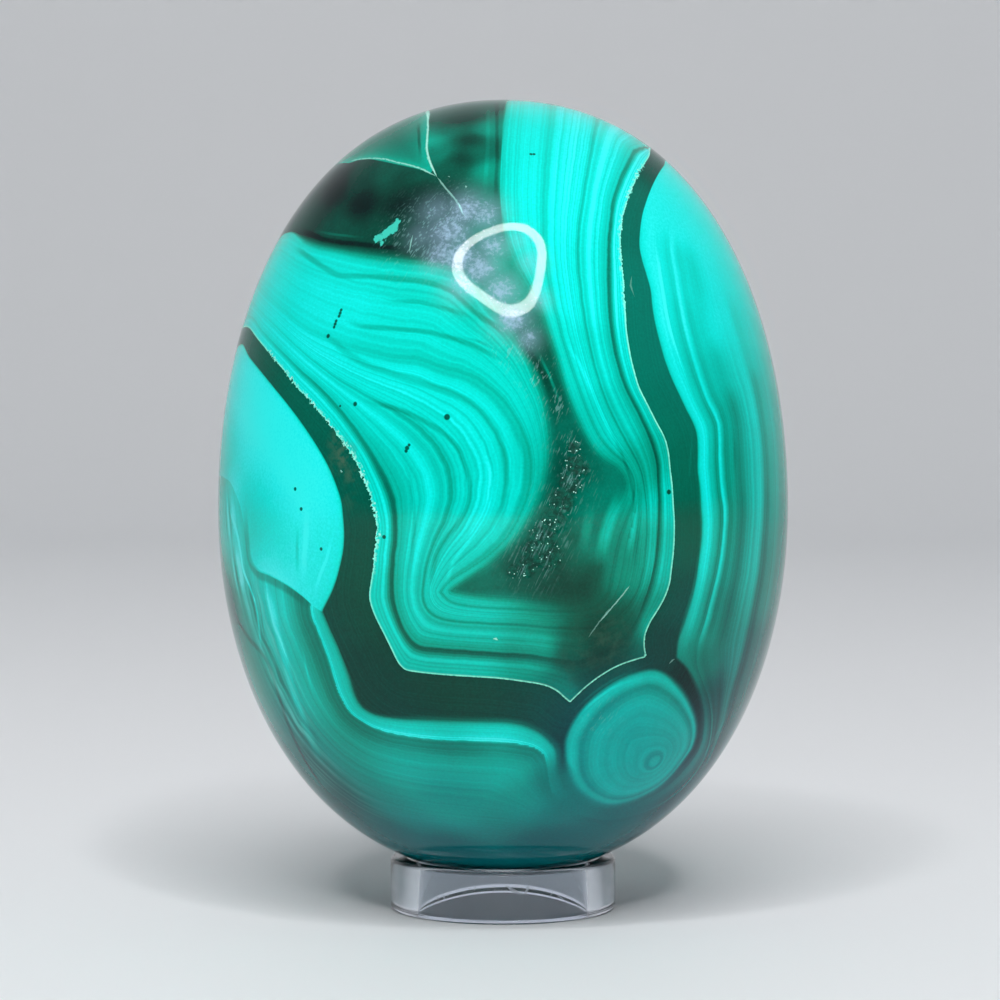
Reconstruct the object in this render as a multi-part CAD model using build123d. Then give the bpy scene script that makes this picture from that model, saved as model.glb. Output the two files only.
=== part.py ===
"""Polished malachite egg standing in a small clear ring stand.

Millimetres, +Z up. The origin is on the table, under the middle of the ring. The egg is a
body of revolution with its blunt end down, and it rests on a bevelled seat round the ring's
mouth. The seat follows the egg: its slope and height are worked out from the egg's outline.
"""
import math
import os

from build123d import *

# Egg: blunt end down
EGG_DIAMETER = 48.0        # across the belly
CROWN_HEIGHT = 34.2        # from the belly up to the narrow end
BASE_DEPTH = 31.0          # from the belly down to the blunt end
CROWN_SIDE_PULL = 0.50     # how long the side stays upright above the belly, share of the height
BASE_SIDE_PULL = 0.55      # the same below the belly, share of the depth
CROWN_FULLNESS = 0.70      # how broad the narrow end is, share of the belly's radius
BASE_FULLNESS = 0.63       # how broad the blunt end is, share of the belly's radius

# Ring stand: a short clear tube with a bevelled mouth
RING_DIAMETER = 19.05      # outside, three quarters of an inch
RING_HEIGHT = 4.4
RIM_LAND = 1.28            # flat top of the wall, outside the seat
SEAT_WIDTH = 1.1           # radial width of the bevel that carries the egg
RIM_ROUND = 0.35           # polished rounds on the outer edges
LIP_ROUND = 0.2            # polished rounds on the inner edges
SEAT_CLEARANCE = 0.1       # gap left between the egg and its seat

ROUND_SHARE = 0.4          # the most of a flat that one round may take
HALVINGS = 50              # steps of the search for a point on the egg's outline


def egg_curves():
    """Crown and base curves of the egg's half outline, with the belly's centre at zero height."""
    radius = EGG_DIAMETER / 2
    crown = Bezier(
        (radius, 0),
        (radius, CROWN_SIDE_PULL * CROWN_HEIGHT),
        (CROWN_FULLNESS * radius, CROWN_HEIGHT),
        (0, CROWN_HEIGHT),
    )
    base = Bezier(
        (0, -BASE_DEPTH),
        (BASE_FULLNESS * radius, -BASE_DEPTH),
        (radius, -BASE_SIDE_PULL * BASE_DEPTH),
        (radius, 0),
    )
    return crown, base


def parameter_at_radius(curve, radius):
    """Parameter of the point where a curve that runs outwards reaches a radius."""
    low, high = 0.0, 1.0
    for _ in range(HALVINGS):
        middle = (low + high) / 2
        if (curve @ middle).X < radius:
            low = middle
        else:
            high = middle
    return low


def seat_geometry():
    """Bore radius, seat radius, seat drop and belly height, all set by where the egg touches."""
    seat_radius = RING_DIAMETER / 2 - RIM_LAND
    bore_radius = seat_radius - SEAT_WIDTH
    _, base = egg_curves()
    touch = parameter_at_radius(base, (seat_radius + bore_radius) / 2)
    point = base @ touch
    tangent = base % touch
    slope = tangent.Y / tangent.X
    gap_below = SEAT_CLEARANCE * math.hypot(1, slope)
    rim_height = point.Y - gap_below + (seat_radius - point.X) * slope
    return bore_radius, seat_radius, SEAT_WIDTH * slope, RING_HEIGHT - rim_height


def malachite_egg():
    """Solid egg, turned from its half outline and lifted to its place over the seat."""
    _, _, _, belly_height = seat_geometry()
    crown, base = egg_curves()
    axis_line = Line(crown @ 1, base @ 0)
    half_section = make_face(Plane.XZ * Curve([crown, axis_line, base]))
    return Pos(0, 0, belly_height) * revolve(half_section, Axis.Z)


def ring_stand():
    """Clear ring, turned from its wall section: upright bore, bevelled seat, flat rim."""
    bore_radius, seat_radius, seat_drop, _ = seat_geometry()
    outer_radius = RING_DIAMETER / 2
    wall = outer_radius - bore_radius
    rim_round = min(RIM_ROUND, ROUND_SHARE * RIM_LAND, ROUND_SHARE * wall)
    lip_round = min(LIP_ROUND, ROUND_SHARE * SEAT_WIDTH, ROUND_SHARE * wall)
    section = make_face(
        Polyline(
            (bore_radius, 0),
            (outer_radius, 0),
            (outer_radius, RING_HEIGHT),
            (seat_radius, RING_HEIGHT),
            (bore_radius, RING_HEIGHT - seat_drop),
            close=True,
        )
    )
    middle_radius = (outer_radius + seat_radius) / 2
    outer_corners = section.vertices().filter_by(lambda corner: corner.X > middle_radius)
    section = fillet(outer_corners, rim_round)
    inner_corners = section.vertices().filter_by(lambda corner: corner.X < bore_radius + lip_round)
    section = fillet(inner_corners, lip_round)
    return revolve(Plane.XZ * section, Axis.Z)


PARTS = {
    "malachite_egg": malachite_egg,
    "ring_stand": ring_stand,
}

os.makedirs("parts", exist_ok=True)
for node_name, make_part in PARTS.items():
    export_step(make_part(), os.path.join("parts", node_name + ".step"))
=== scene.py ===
import math

import bpy
import numpy as np
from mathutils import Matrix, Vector, kdtree


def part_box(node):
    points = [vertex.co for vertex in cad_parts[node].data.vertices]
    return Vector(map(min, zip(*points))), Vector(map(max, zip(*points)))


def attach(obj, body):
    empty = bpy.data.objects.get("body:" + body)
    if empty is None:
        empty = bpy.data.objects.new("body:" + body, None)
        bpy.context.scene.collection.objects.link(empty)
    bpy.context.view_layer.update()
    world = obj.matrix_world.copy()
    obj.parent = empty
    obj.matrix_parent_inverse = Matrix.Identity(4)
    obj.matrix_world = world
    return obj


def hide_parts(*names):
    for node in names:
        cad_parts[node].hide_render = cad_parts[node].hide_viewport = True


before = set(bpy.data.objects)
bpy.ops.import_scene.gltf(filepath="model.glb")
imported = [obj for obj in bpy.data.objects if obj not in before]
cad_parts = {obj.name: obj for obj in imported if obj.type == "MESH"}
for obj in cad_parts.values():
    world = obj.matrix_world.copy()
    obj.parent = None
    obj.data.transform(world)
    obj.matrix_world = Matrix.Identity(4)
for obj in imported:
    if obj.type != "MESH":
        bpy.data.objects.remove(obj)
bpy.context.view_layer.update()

MM = 0.001

# Camera and picture frame
PICTURE = 1000                 # the picture's side, pixels
SENSOR = 36.0                  # mm
CAMERA_DISTANCE = 300.0        # from the belly's middle, mm
CAMERA_RISE = math.radians(2.7)
PIXELS_PER_MM = 11.85          # at the belly
AXIS_X = 503                   # where the egg's axis stands in the picture
BELLY_Y = 507                  # where the middle of its belly lies
FOCAL = PIXELS_PER_MM * CAMERA_DISTANCE

# Egg: the solid's outline, blunt end down
EGG_LOW, EGG_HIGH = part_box("malachite_egg")
BELLY_RADIUS = (EGG_HIGH.x - EGG_LOW.x) / 2 / MM
EGG_HEIGHT = (EGG_HIGH.z - EGG_LOW.z) / MM
BASE_DEPTH = 31.0              # from the belly down to the blunt end
CROWN_HEIGHT = EGG_HEIGHT - BASE_DEPTH
BELLY_LEVEL = EGG_LOW.z / MM + BASE_DEPTH
CROWN_SIDE_PULL = 0.50         # how long the side stays upright above the belly
BASE_SIDE_PULL = 0.55          # the same below the belly
CROWN_FULLNESS = 0.70          # how broad the narrow end is, share of the belly's radius
BASE_FULLNESS = 0.63           # how broad the blunt end is
SKIN = 0.015                   # the polished face lies this far inside the solid's
OUTLINE_STEPS = 1500
FRONT_PULL = 1.50              # how much finer the mesh is at the front than behind
HALVINGS_OF_FACE = 7           # each side of the starting cube becomes 2 to this power quads

# Ring stand: the solid's section
RING_LOW, RING_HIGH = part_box("ring_stand")
RING_RADIUS = (RING_HIGH.x - RING_LOW.x) / 2 / MM
RING_HEIGHT = (RING_HIGH.z - RING_LOW.z) / MM
RIM_LAND = 1.28
SEAT_WIDTH = 1.1
RIM_ROUND = 0.35
LIP_ROUND = 0.2
EDGE_ROUND = 0.06              # polish on the edge between the land and the seat
RING_STEPS = 288

# ---------------------------------------------------------------------------------------------
# Shapes and places on the egg
# ---------------------------------------------------------------------------------------------


def bezier(p0, p1, p2, p3, count=OUTLINE_STEPS):
    """Points along one cubic curve."""
    t = np.linspace(0, 1, count)[:, None]
    a, b, c, d = (np.array(p, float) for p in (p0, p1, p2, p3))
    return (1 - t) ** 3 * a + 3 * (1 - t) ** 2 * t * b + 3 * (1 - t) * t * t * c + t ** 3 * d


def egg_outline():
    """Radius and height along the egg's side, from the blunt end up to the crown."""
    base = bezier(
        (0, -BASE_DEPTH),
        (BASE_FULLNESS * BELLY_RADIUS, -BASE_DEPTH),
        (BELLY_RADIUS, -BASE_SIDE_PULL * BASE_DEPTH),
        (BELLY_RADIUS, 0),
    )
    crown = bezier(
        (BELLY_RADIUS, 0),
        (BELLY_RADIUS, CROWN_SIDE_PULL * CROWN_HEIGHT),
        (CROWN_FULLNESS * BELLY_RADIUS, CROWN_HEIGHT),
        (0, CROWN_HEIGHT),
    )
    return np.vstack([base, crown[1:]])


OUTLINE = egg_outline()
OUTLINE_ANGLE = np.arctan2(OUTLINE[:, 1], OUTLINE[:, 0])
OUTLINE_REACH = np.hypot(OUTLINE[:, 0], OUTLINE[:, 1])


def length_of(v):
    return np.linalg.norm(v, axis=-1, keepdims=True)


def reach(direction):
    """Distance from the belly's middle to the egg's surface, along unit directions."""
    climb = np.arctan2(direction[..., 2], np.hypot(direction[..., 0], direction[..., 1]))
    return np.interp(climb, OUTLINE_ANGLE, OUTLINE_REACH)


def on_egg(points):
    """Points moved straight in or out to the egg's surface."""
    direction = points / length_of(points)
    return direction * reach(direction)[..., None]


EYE_POINT = CAMERA_DISTANCE * np.array([0, -math.cos(CAMERA_RISE), math.sin(CAMERA_RISE)])
LOOK = -EYE_POINT / CAMERA_DISTANCE
LOOK_RIGHT = np.array([1.0, 0.0, 0.0])
LOOK_UP = np.cross(LOOK_RIGHT, LOOK)


SEARCH_NEARER = 40             # the ray is followed from this far before the belly's middle, mm
SEARCH_FARTHER = 20            # to this far behind it
SEARCH_STEPS = 481


def seen(x, y):
    """The point of the egg that the camera sees at a pixel, or the nearest one just off its edge."""
    ray = LOOK + (x - AXIS_X) / FOCAL * LOOK_RIGHT - (y - BELLY_Y) / FOCAL * LOOK_UP
    ray /= np.linalg.norm(ray)
    steps = np.linspace(CAMERA_DISTANCE - SEARCH_NEARER, CAMERA_DISTANCE + SEARCH_FARTHER, SEARCH_STEPS)
    along = EYE_POINT + steps[:, None] * ray
    outside = length_of(along)[:, 0] - reach(along / length_of(along))
    first = int(np.argmax(outside <= 0))
    if outside[first] > 0:
        return on_egg(along[int(np.argmin(outside))])
    share = outside[first - 1] / (outside[first - 1] - outside[first])
    return on_egg(along[first - 1] + share * (along[first] - along[first - 1]))


def behind(turn, height):
    """A point of the egg by its angle from the front, towards +X, and its height over the belly."""
    radius = np.interp(height, OUTLINE[:, 1], OUTLINE[:, 0])
    angle = math.radians(turn)
    return np.array([radius * math.sin(angle), -radius * math.cos(angle), height])


def place(mark):
    """A mark, a pixel or a point already on the egg, as a point on the egg."""
    return mark if isinstance(mark, np.ndarray) else seen(mark[0], mark[1])


CORNER = "corner"              # a mark with this third word is a sharp turn of its curve
STEPS_PER_MARK = 6


def drawn(marks, closed=True):
    """A smooth curve over the egg through the given marks."""
    points = np.array([place(m) for m in marks])
    sharp = [not isinstance(m, np.ndarray) and len(m) > 2 for m in marks]
    count = len(points)
    line = []
    for i in range(count if closed else count - 1):
        j = (i + 1) % count
        before = points[i - 1] if closed or i > 0 else points[i]
        after = points[(i + 2) % count] if closed or i + 2 < count else points[j]
        a, b = points[i], points[j]
        span = np.linalg.norm(b - a)
        leave = (b - a) if sharp[i] else (b - before) / np.linalg.norm(b - before) * span
        arrive = (b - a) if sharp[j] else (after - a) / np.linalg.norm(after - a) * span
        for t in np.arange(STEPS_PER_MARK) / STEPS_PER_MARK:
            line.append(
                (2 * t ** 3 - 3 * t * t + 1) * a
                + (t ** 3 - 2 * t * t + t) * leave
                + (3 * t * t - 2 * t ** 3) * b
                + (t ** 3 - t * t) * arrive
            )
    if not closed:
        line.append(points[-1])
    return on_egg(np.array(line))


def nearest_on(points, line, closed=True):
    """Distance from each point to a curve, and how far along the curve that nearest place is."""
    tree = kdtree.KDTree(len(line))
    for i, p in enumerate(line):
        tree.insert(p, i)
    tree.balance()
    found = np.array([tree.find(p)[1] for p in points.tolist()])
    best = np.full(len(points), np.inf)
    along = np.zeros(len(points))
    for step in (-1, 0):
        start = found + step
        if not closed:
            start = np.clip(start, 0, len(line) - 2)
        a = line[start % len(line)]
        b = line[(start + 1) % len(line)]
        side = b - a
        share = np.clip(((points - a) * side).sum(1) / (side * side).sum(1), 0, 1)
        gap = np.linalg.norm(points - a - share[:, None] * side, axis=1)
        along = np.where(gap < best, start + share, along)
        best = np.minimum(best, gap)
    return best, along


def offset_from(points, line):
    """Signed distance from an open curve, positive on its left, and the room left to its ends."""
    gap, along = nearest_on(points, line, closed=False)
    start = np.clip(along.astype(int), 0, len(line) - 2)
    a, b = line[start], line[start + 1]
    side = b - a
    left = np.cross(points / length_of(points), side)
    sign = np.where(((points - a) * left).sum(1) > 0, 1.0, -1.0)
    lengths = np.linalg.norm(np.diff(line, axis=0), axis=1)
    travelled = np.concatenate([[0.0], np.cumsum(lengths)])
    share = ((points - a) * side).sum(1) / (side * side).sum(1)
    at = travelled[start] + share * lengths[start]
    across = np.linalg.norm(points - a - share[:, None] * side, axis=1)
    return sign * across, np.minimum(at, travelled[-1] - at), gap


def flattened(points):
    """The egg's surface opened out on a plane, with the front at the middle."""
    direction = points / length_of(points)
    stretch = 1 / (1 + 1e-9 - direction[..., 1])
    return np.stack([direction[..., 0] * stretch, direction[..., 2] * stretch], -1)


def circled(points, line):
    """Which points a closed curve goes round on the opened-out surface."""
    p, q = flattened(points), flattened(line)
    odd = np.zeros(len(points), bool)
    for (x0, y0), (x1, y1) in zip(q, np.roll(q, -1, 0)):
        if y0 != y1:
            crosses = (y0 > p[:, 1]) != (y1 > p[:, 1])
            odd ^= crosses & (p[:, 0] < x0 + (p[:, 1] - y0) * (x1 - x0) / (y1 - y0))
    return odd


def depth_in(points, marks, within):
    """Distance from a closed seam, positive on the side where the mark within lies."""
    line = drawn(marks)
    side = circled(points, line) == circled(place(within)[None], line)[0]
    gap, _ = nearest_on(points, line)
    return np.where(side, gap, -gap)


def smooth(low, high, value):
    """Soft step from 0 at low to 1 at high."""
    t = np.clip((value - low) / (high - low), 0, 1)
    return t * t * (3 - 2 * t)


def spot(points, mark, size):
    """Soft round patch about a mark, 1 in its middle, with its size in mm."""
    gap = np.linalg.norm(points - place(mark), axis=1)
    return np.exp(-((gap / size) ** 2))


def patches(points, notes):
    """The strongest of several soft patches, each noted as a mark, a size and a strength."""
    total = np.zeros(len(points))
    for mark, size, strength in notes:
        total = np.maximum(total, strength * spot(points, mark, size))
    return total


def toned(points, notes, softness):
    """A smooth field that takes the noted value at each mark and blends between them."""
    top = np.zeros(len(points))
    weight = np.zeros(len(points))
    for mark, value in notes:
        gap = np.linalg.norm(points - place(mark), axis=1)
        share = 1 / (gap ** 2 + softness ** 2) ** 2
        top += share * value
        weight += share
    return top / weight


# ---------------------------------------------------------------------------------------------
# The stone's seams
# ---------------------------------------------------------------------------------------------

# Edge of the pale body: the inner side of the dark band, then round the back
SEAM = [
    (247, 327), (259, 341), (272, 357), (285, 372), (297, 388), (310, 402), (322, 416), (333, 429),
    (344, 444), (355, 460), (362, 476), (369, 494), (373, 510), (376, 524), (376, 538), (374, 552),
    (373, 566), (371, 580), (369, 594), (370, 603), (375, 617), (383, 633), (391, 649), (398, 663),
    (405, 670), (414, 672), (440, 675), (470, 677), (500, 679), (530, 683), (545, 686), (556, 691),
    (563, 697), (570, 703, CORNER), (577, 696), (588, 686), (600, 677), (615, 668), (630, 662),
    (647, 657, CORNER), (645, 646), (646, 634), (651, 622), (659, 609), (665, 598), (670, 584),
    (672, 570), (674, 553), (675, 536), (675, 520), (674, 505), (673, 488), (671, 470), (669, 452),
    (665, 437), (657, 422), (649, 406), (640, 388), (634, 368), (630, 350), (627, 330), (626, 315),
    (625, 300), (624, 280), (622, 262), (621, 248), (621, 235), (623, 218), (627, 203), (632, 190),
    (637, 178), (643, 167), (649, 157), (655, 147),
    behind(118, 24), behind(128, 15), behind(140, 6), behind(155, -2), behind(172, -7),
    behind(190, -8), behind(207, -4), behind(222, 2), behind(237, 8), behind(252, 12.5),
]

# Outer side of the dark band, round the eye as well
BAND = [
    (241, 344), (250, 358), (262, 373), (275, 389), (288, 405), (300, 421), (311, 437), (321, 453),
    (329, 468), (336, 485), (341, 501), (343, 518), (344, 534), (343, 550), (340, 565), (336, 580),
    (331, 593), (325, 605), (322, 611, CORNER), (326, 620), (331, 632), (337, 645), (343, 660),
    (349, 676), (353, 690), (357, 700), (363, 708), (373, 714), (385, 717), (400, 719), (430, 720),
    (460, 721), (490, 722), (510, 723), (525, 726), (540, 733), (550, 742), (556, 751), (557, 770),
    (565, 790), (580, 803), (605, 810), (633, 804), (662, 790), (684, 770), (699, 749), (704, 725),
    (702, 700), (695, 680), (687, 667), (677, 657, CORNER), (679, 640), (685, 622), (690, 605),
    (694, 590), (697, 575), (699, 560), (701, 545), (702, 525), (701, 505), (700, 488), (698, 470),
    (698, 450), (697, 434), (693, 422), (686, 408), (679, 393), (672, 378), (666, 362), (661, 345),
    (656, 325), (653, 308), (651, 290), (647, 275), (643, 262), (640, 248), (640, 235), (642, 218),
    (646, 203), (652, 187), (658, 175), (664, 166), (670, 159),
    behind(113, 23), behind(122, 13), behind(133, 3), behind(150, -6), behind(170, -11),
    behind(192, -12), behind(212, -7), behind(228, -1), behind(243, 6), behind(257, 10.5),
]

# The dark heart inside the pale body, over the crown and down the middle
HEART = [
    (291, 232), (305, 240), (320, 246), (340, 250), (360, 254), (380, 257), (400, 259), (420, 261),
    (440, 264), (460, 271), (480, 288), (497, 312), (508, 325), (520, 342), (530, 360), (538, 380),
    (545, 400), (549, 420), (551, 440), (551, 460), (549, 478), (544, 495), (536, 512), (526, 528),
    (515, 542), (502, 554), (488, 566), (474, 575), (462, 583), (451, 591, CORNER), (470, 594),
    (490, 596), (520, 598), (550, 601), (575, 604), (592, 598), (600, 575), (602, 548), (606, 525),
    (614, 508), (622, 495), (625, 482), (618, 470), (603, 460), (592, 448), (582, 430), (573, 410),
    (564, 385), (557, 360), (549, 335), (541, 310), (530, 288), (517, 265), (507, 240), (502, 215),
    (500, 190), (501, 160), (503, 130), (506, 104),
    behind(180, 31), behind(200, 24), behind(220, 20), behind(240, 19.5), behind(256, 20.5),
]

# The dark line that closes the edge layers of the pale body
EDGE_LINE = [
    (253, 318), (262, 331), (275, 345), (288, 358), (300, 370), (320, 388), (340, 410), (355, 430),
    (365, 445), (375, 462), (385, 482), (392, 500), (395, 520), (395, 540), (393, 560), (392, 580),
    (393, 600), (398, 618), (404, 632), (412, 643), (422, 648), (440, 650), (470, 652), (500, 654),
    (530, 656), (555, 660), (578, 662), (604, 652), (624, 638), (636, 622), (644, 602), (651, 580),
    (656, 555), (658, 530), (659, 500), (658, 480), (657, 462), (651, 440), (640, 415), (625, 385),
    (616, 355), (611, 325), (609, 290), (609, 260), (610, 235), (614, 200), (620, 182), (628, 165),
    (638, 150),
    behind(120, 25.5), behind(131, 17), behind(142, 8.5), behind(156, 0.5), behind(172, -4.3),
    behind(190, -5.3), behind(206, -1.6), behind(220, 4.4), behind(235, 10.2), behind(250, 14.4),
]

# A dark layer half way between the pale body's edge and the dark heart
MIDDLE = [
    (255, 305), (275, 325), (300, 349), (330, 373), (360, 391), (390, 407), (415, 423), (433, 440),
    (446, 460), (452, 480), (452, 500), (446, 520), (436, 540), (429, 560), (425, 580), (424, 597),
    (429, 610), (443, 618), (480, 622), (520, 624), (560, 627), (600, 625), (624, 610), (637, 592),
    (643, 572), (646, 550), (647, 520), (645, 495), (640, 470), (630, 450), (618, 428), (607, 405),
    (598, 380), (590, 350), (584, 320), (580, 290), (577, 260), (578, 230), (582, 200), (587, 170),
    (592, 140), (597, 112),
    behind(150, 29), behind(165, 20), behind(180, 14), behind(200, 11), behind(222, 13),
    behind(243, 16.5),
]

# A thinner dark layer nearer to the heart
INNER = [
    (258, 286), (275, 304), (300, 325), (320, 336), (340, 343), (360, 350), (392, 357), (420, 360),
    (440, 367), (462, 372), (479, 380), (499, 395), (514, 415), (525, 436), (531, 458), (531, 480),
    (525, 505), (515, 527), (503, 543), (488, 557), (470, 569), (452, 580), (441, 592, CORNER),
    (452, 602), (480, 607), (520, 609), (560, 611), (590, 608), (606, 596), (612, 570), (618, 542),
    (626, 520), (633, 500), (634, 482), (627, 466), (612, 452), (600, 438), (590, 418), (581, 395),
    (572, 370), (564, 345), (557, 320), (551, 295), (547, 270), (544, 240), (544, 200), (546, 160),
    (549, 130), (552, 104),
    behind(160, 30.5), behind(172, 25), behind(190, 19.5), behind(205, 16.5), behind(222, 16.5),
    behind(243, 18),
]

# Outer edge of the first layer outside the dark band
OUTER_ONE = [
    (236, 352), (248, 372), (262, 392), (276, 412), (290, 434), (302, 456), (312, 480), (319, 505),
    (321, 530), (321, 555), (318, 578), (312, 598), (311, 613), (318, 632), (325, 650), (331, 668),
    (337, 688), (343, 701), (350, 712), (365, 723), (380, 730), (400, 735), (420, 738), (440, 740),
    (470, 741), (500, 742), (525, 745), (541, 751), (548, 764), (551, 787), (562, 803), (582, 815),
    (607, 820), (638, 814), (669, 799), (693, 777), (707, 752), (712, 725), (710, 702), (704, 684),
    (698, 666), (698, 652), (702, 636), (707, 620), (712, 600), (717, 580), (721, 560), (724, 535),
    (725, 510), (722, 488), (720, 460), (719, 426), (716, 416), (708, 400), (700, 378), (693, 355),
    (686, 330), (680, 300), (676, 275), (672, 250), (672, 230), (677, 212), (686, 198),
    behind(104, 18), behind(114, 10), behind(127, 0), behind(147, -9), behind(169, -14),
    behind(193, -15), behind(214, -10), behind(230, -4), behind(245, 3), behind(258, 8),
]

# A second layer outside it, broad on the right
OUTER_TWO = [
    (226, 400), (228, 480), (233, 540), (243, 600), (262, 660), (290, 715), (325, 760), (365, 790),
    (410, 805), (460, 812), (520, 818), (560, 834), (600, 838), (642, 829), (676, 806), (701, 776),
    (715, 746), (724, 720), (731, 692), (739, 665), (746, 636), (752, 606), (758, 572), (761, 540),
    (763, 510), (763, 470), (761, 440), (757, 412), (752, 387), (745, 362), (737, 335), (729, 310),
    (722, 285), (716, 255),
    behind(101, 12), behind(113, 3), behind(127, -7), behind(147, -16), behind(169, -20),
    behind(193, -21), behind(214, -16), behind(230, -10), behind(245, -3), behind(258, 2),
]

# The round eye
EYE = [
    (564, 745), (566, 735), (572, 722), (582, 708), (595, 695), (610, 684), (625, 676), (640, 671),
    (652, 669), (664, 672), (675, 680), (685, 692), (692, 705), (697, 720), (697, 735), (693, 748),
    (685, 760), (673, 775), (660, 787), (645, 796), (628, 803), (610, 806), (595, 803), (580, 795),
    (570, 783), (565, 768),
]
EYE_MIDDLE = (655, 762)        # its rings close in on this mark

# The smooth lobe on the left
LOBE = [
    (322, 612, CORNER), (313, 606), (303, 597), (288, 586), (270, 576), (256, 570), (249, 560),
    (246, 540), (243, 520), (238, 500), (228, 480),
    behind(-105, 3), behind(-118, 6), behind(-125, 9.5), behind(-112, 13),
    (255, 340), (300, 380), (350, 440), (372, 500), (372, 560), (350, 600),
]

# The green wedge in the dark at the top left
WEDGE = [
    (348, 163), (358, 160), (369, 159), (382, 161), (396, 164), (410, 167), (422, 170), (430, 173),
    (437, 177, CORNER), (432, 168), (428, 158), (426, 148), (427, 138), (428, 126), (429, 112),
    (428, 104),
    behind(200, 29), behind(225, 26.5), behind(245, 26),
]

# A second, smaller eye on the far side
BACK_EYE_MIDDLE = behind(152, -19)
BACK_EYE_RADIUS = 5.2

# Strength of the bands in the pale body: 0 faint, 1 strong
BODY_CONTRAST = [
    ((300, 300), 0.30), ((265, 310), 0.15), ((340, 300), 0.45), ((400, 290), 0.7), ((470, 330), 0.9),
    ((360, 400), 0.6), ((420, 400), 0.85), ((480, 450), 1.0), ((430, 520), 1.0), ((400, 590), 1.0),
    ((480, 640), 1.0), ((605, 645), 0.10), ((580, 670), 0.2), ((550, 650), 0.9), ((640, 560), 0.9),
    ((640, 480), 0.95), ((600, 400), 0.8), ((580, 330), 0.9), ((600, 260), 0.9), ((560, 180), 0.75),
    ((600, 150), 0.75), ((530, 130), 0.55), (behind(120, 20), 0.4), (behind(150, 8), 0.8),
    (behind(180, 0), 1.0), (behind(220, 8), 0.7),
]

# Brightness of the pale body, 1 as in its brightest part: partly the stone's own tone, partly painted
# shading, brighter towards the top and darker towards the bottom
BODY_TONE_AND_SHADING = [
    ((280, 300), 1.06), ((335, 300), 1.08), ((400, 350), 1.04), ((480, 400), 1.02), ((480, 500), 1.0),
    ((400, 540), 0.99), ((400, 600), 0.93), ((470, 600), 0.90), ((470, 650), 0.86), ((540, 650), 0.78),
    ((600, 660), 0.27), ((583, 678), 0.30), ((600, 635), 0.28), ((622, 652), 0.29), ((572, 650), 0.40),
    ((625, 630), 0.34), ((640, 650), 0.42), ((568, 690), 0.60), ((650, 632), 0.86), ((630, 560), 0.62),
    ((655, 560), 0.86), ((660, 500), 0.93), ((640, 480), 0.74), ((600, 500), 0.66), ((610, 420), 0.92),
    ((590, 360), 1.0), ((590, 290), 1.07), ((560, 200), 1.10), ((600, 150), 1.10), ((530, 130), 1.07),
    (behind(120, 20), 1.0), (behind(150, 8), 0.95), (behind(180, 0), 0.9), (behind(220, 8), 1.0),
]

# Brightness of the dark band
BAND_LEVEL = [
    ((260, 360), 0.36), ((300, 410), 0.38), ((345, 470), 0.36), ((360, 560), 0.30), ((345, 620), 0.28),
    ((370, 670), 0.25), ((420, 700), 0.25), ((500, 702), 0.26), ((555, 715), 0.28), ((660, 650), 0.25),
    ((680, 600), 0.30), ((688, 540), 0.35), ((685, 470), 0.41), ((670, 410), 0.44), ((648, 350), 0.46),
    ((638, 290), 0.46), ((633, 220), 0.42), ((655, 160), 0.30), ((612, 672), 0.31), ((558, 745), 0.25),
    ((690, 672), 0.16), ((702, 700), 0.18), ((705, 735), 0.24), ((690, 775), 0.32), ((640, 808), 0.46),
    ((600, 810), 0.50), ((568, 795), 0.44), (behind(150, 0), 0.33), (behind(190, -10), 0.3),
    (behind(230, 2), 0.33),
]

# Width over which the dark band fades into the stone outside it, mm
BAND_BLUR = [
    ((300, 421), 0.05), ((343, 530), 0.05), ((335, 640), 0.10), ((360, 704), 0.30), ((450, 720), 0.55),
    ((520, 724), 0.60), ((552, 745), 0.70), ((562, 790), 1.2), ((620, 812), 1.4), ((680, 783), 1.1),
    ((707, 730), 0.60), ((700, 690), 0.45), ((677, 657), 0.25), ((690, 610), 0.45), ((701, 540), 0.30),
    ((697, 440), 0.12), ((660, 340), 0.10), ((641, 230), 0.06), (behind(150, -6), 0.2),
    (behind(228, -1), 0.2),
]

# The same for the round eye's rim
EYE_BLUR = [
    ((566, 735), 0.40), ((600, 692), 0.30), ((640, 671), 0.35), ((690, 700), 0.60), ((695, 740), 0.60),
    ((660, 787), 0.80), ((620, 805), 1.3), ((580, 795), 1.4),
]

# Brightness outside the dark band: partly the stone's own tone, partly painted shading, brighter towards the
# top and darker towards the bottom
OUTER_TONE_AND_SHADING = [
    ((260, 400), 1.09), ((300, 470), 1.08), ((300, 560), 1.03), ((255, 520), 1.05), ((228, 430), 1.04),
    ((230, 525), 1.25), ((236, 570), 1.20), ((270, 610), 1.20), ((247, 610), 1.0), ((278, 650), 1.12),
    ((232, 600), 0.55), ((318, 655), 0.98), ((335, 680), 1.0), ((298, 700), 1.06), ((320, 740), 0.90),
    ((345, 752), 0.84), ((318, 775), 0.66), ((342, 802), 0.42), ((390, 832), 0.5), ((400, 730), 1.08),
    ((500, 735), 1.12), ((540, 745), 1.02), ((400, 775), 0.95), ((500, 772), 0.93), ((450, 800), 0.84),
    ((390, 800), 0.78), ((520, 800), 0.76), ((450, 850), 0.48), ((550, 840), 0.46), ((556, 776), 0.62),
    ((568, 806), 0.56), ((600, 830), 0.48), ((660, 815), 0.44), ((700, 780), 0.52), ((740, 730), 0.60),
    ((706, 692), 0.40), ((742, 690), 0.66), ((700, 668), 0.58), ((725, 660), 0.78), ((756, 645), 0.68),
    ((712, 620), 0.90), ((765, 600), 0.90), ((740, 560), 1.0), ((712, 540), 1.0), ((720, 480), 1.03),
    ((760, 480), 1.02), ((710, 400), 1.04), ((755, 390), 1.06), ((700, 300), 1.13), ((680, 220), 1.13),
    ((740, 300), 1.10), (behind(120, 0), 0.95), (behind(160, -18), 0.85), (behind(220, -18), 0.85),
    (behind(-100, -5), 0.95),
]

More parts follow.
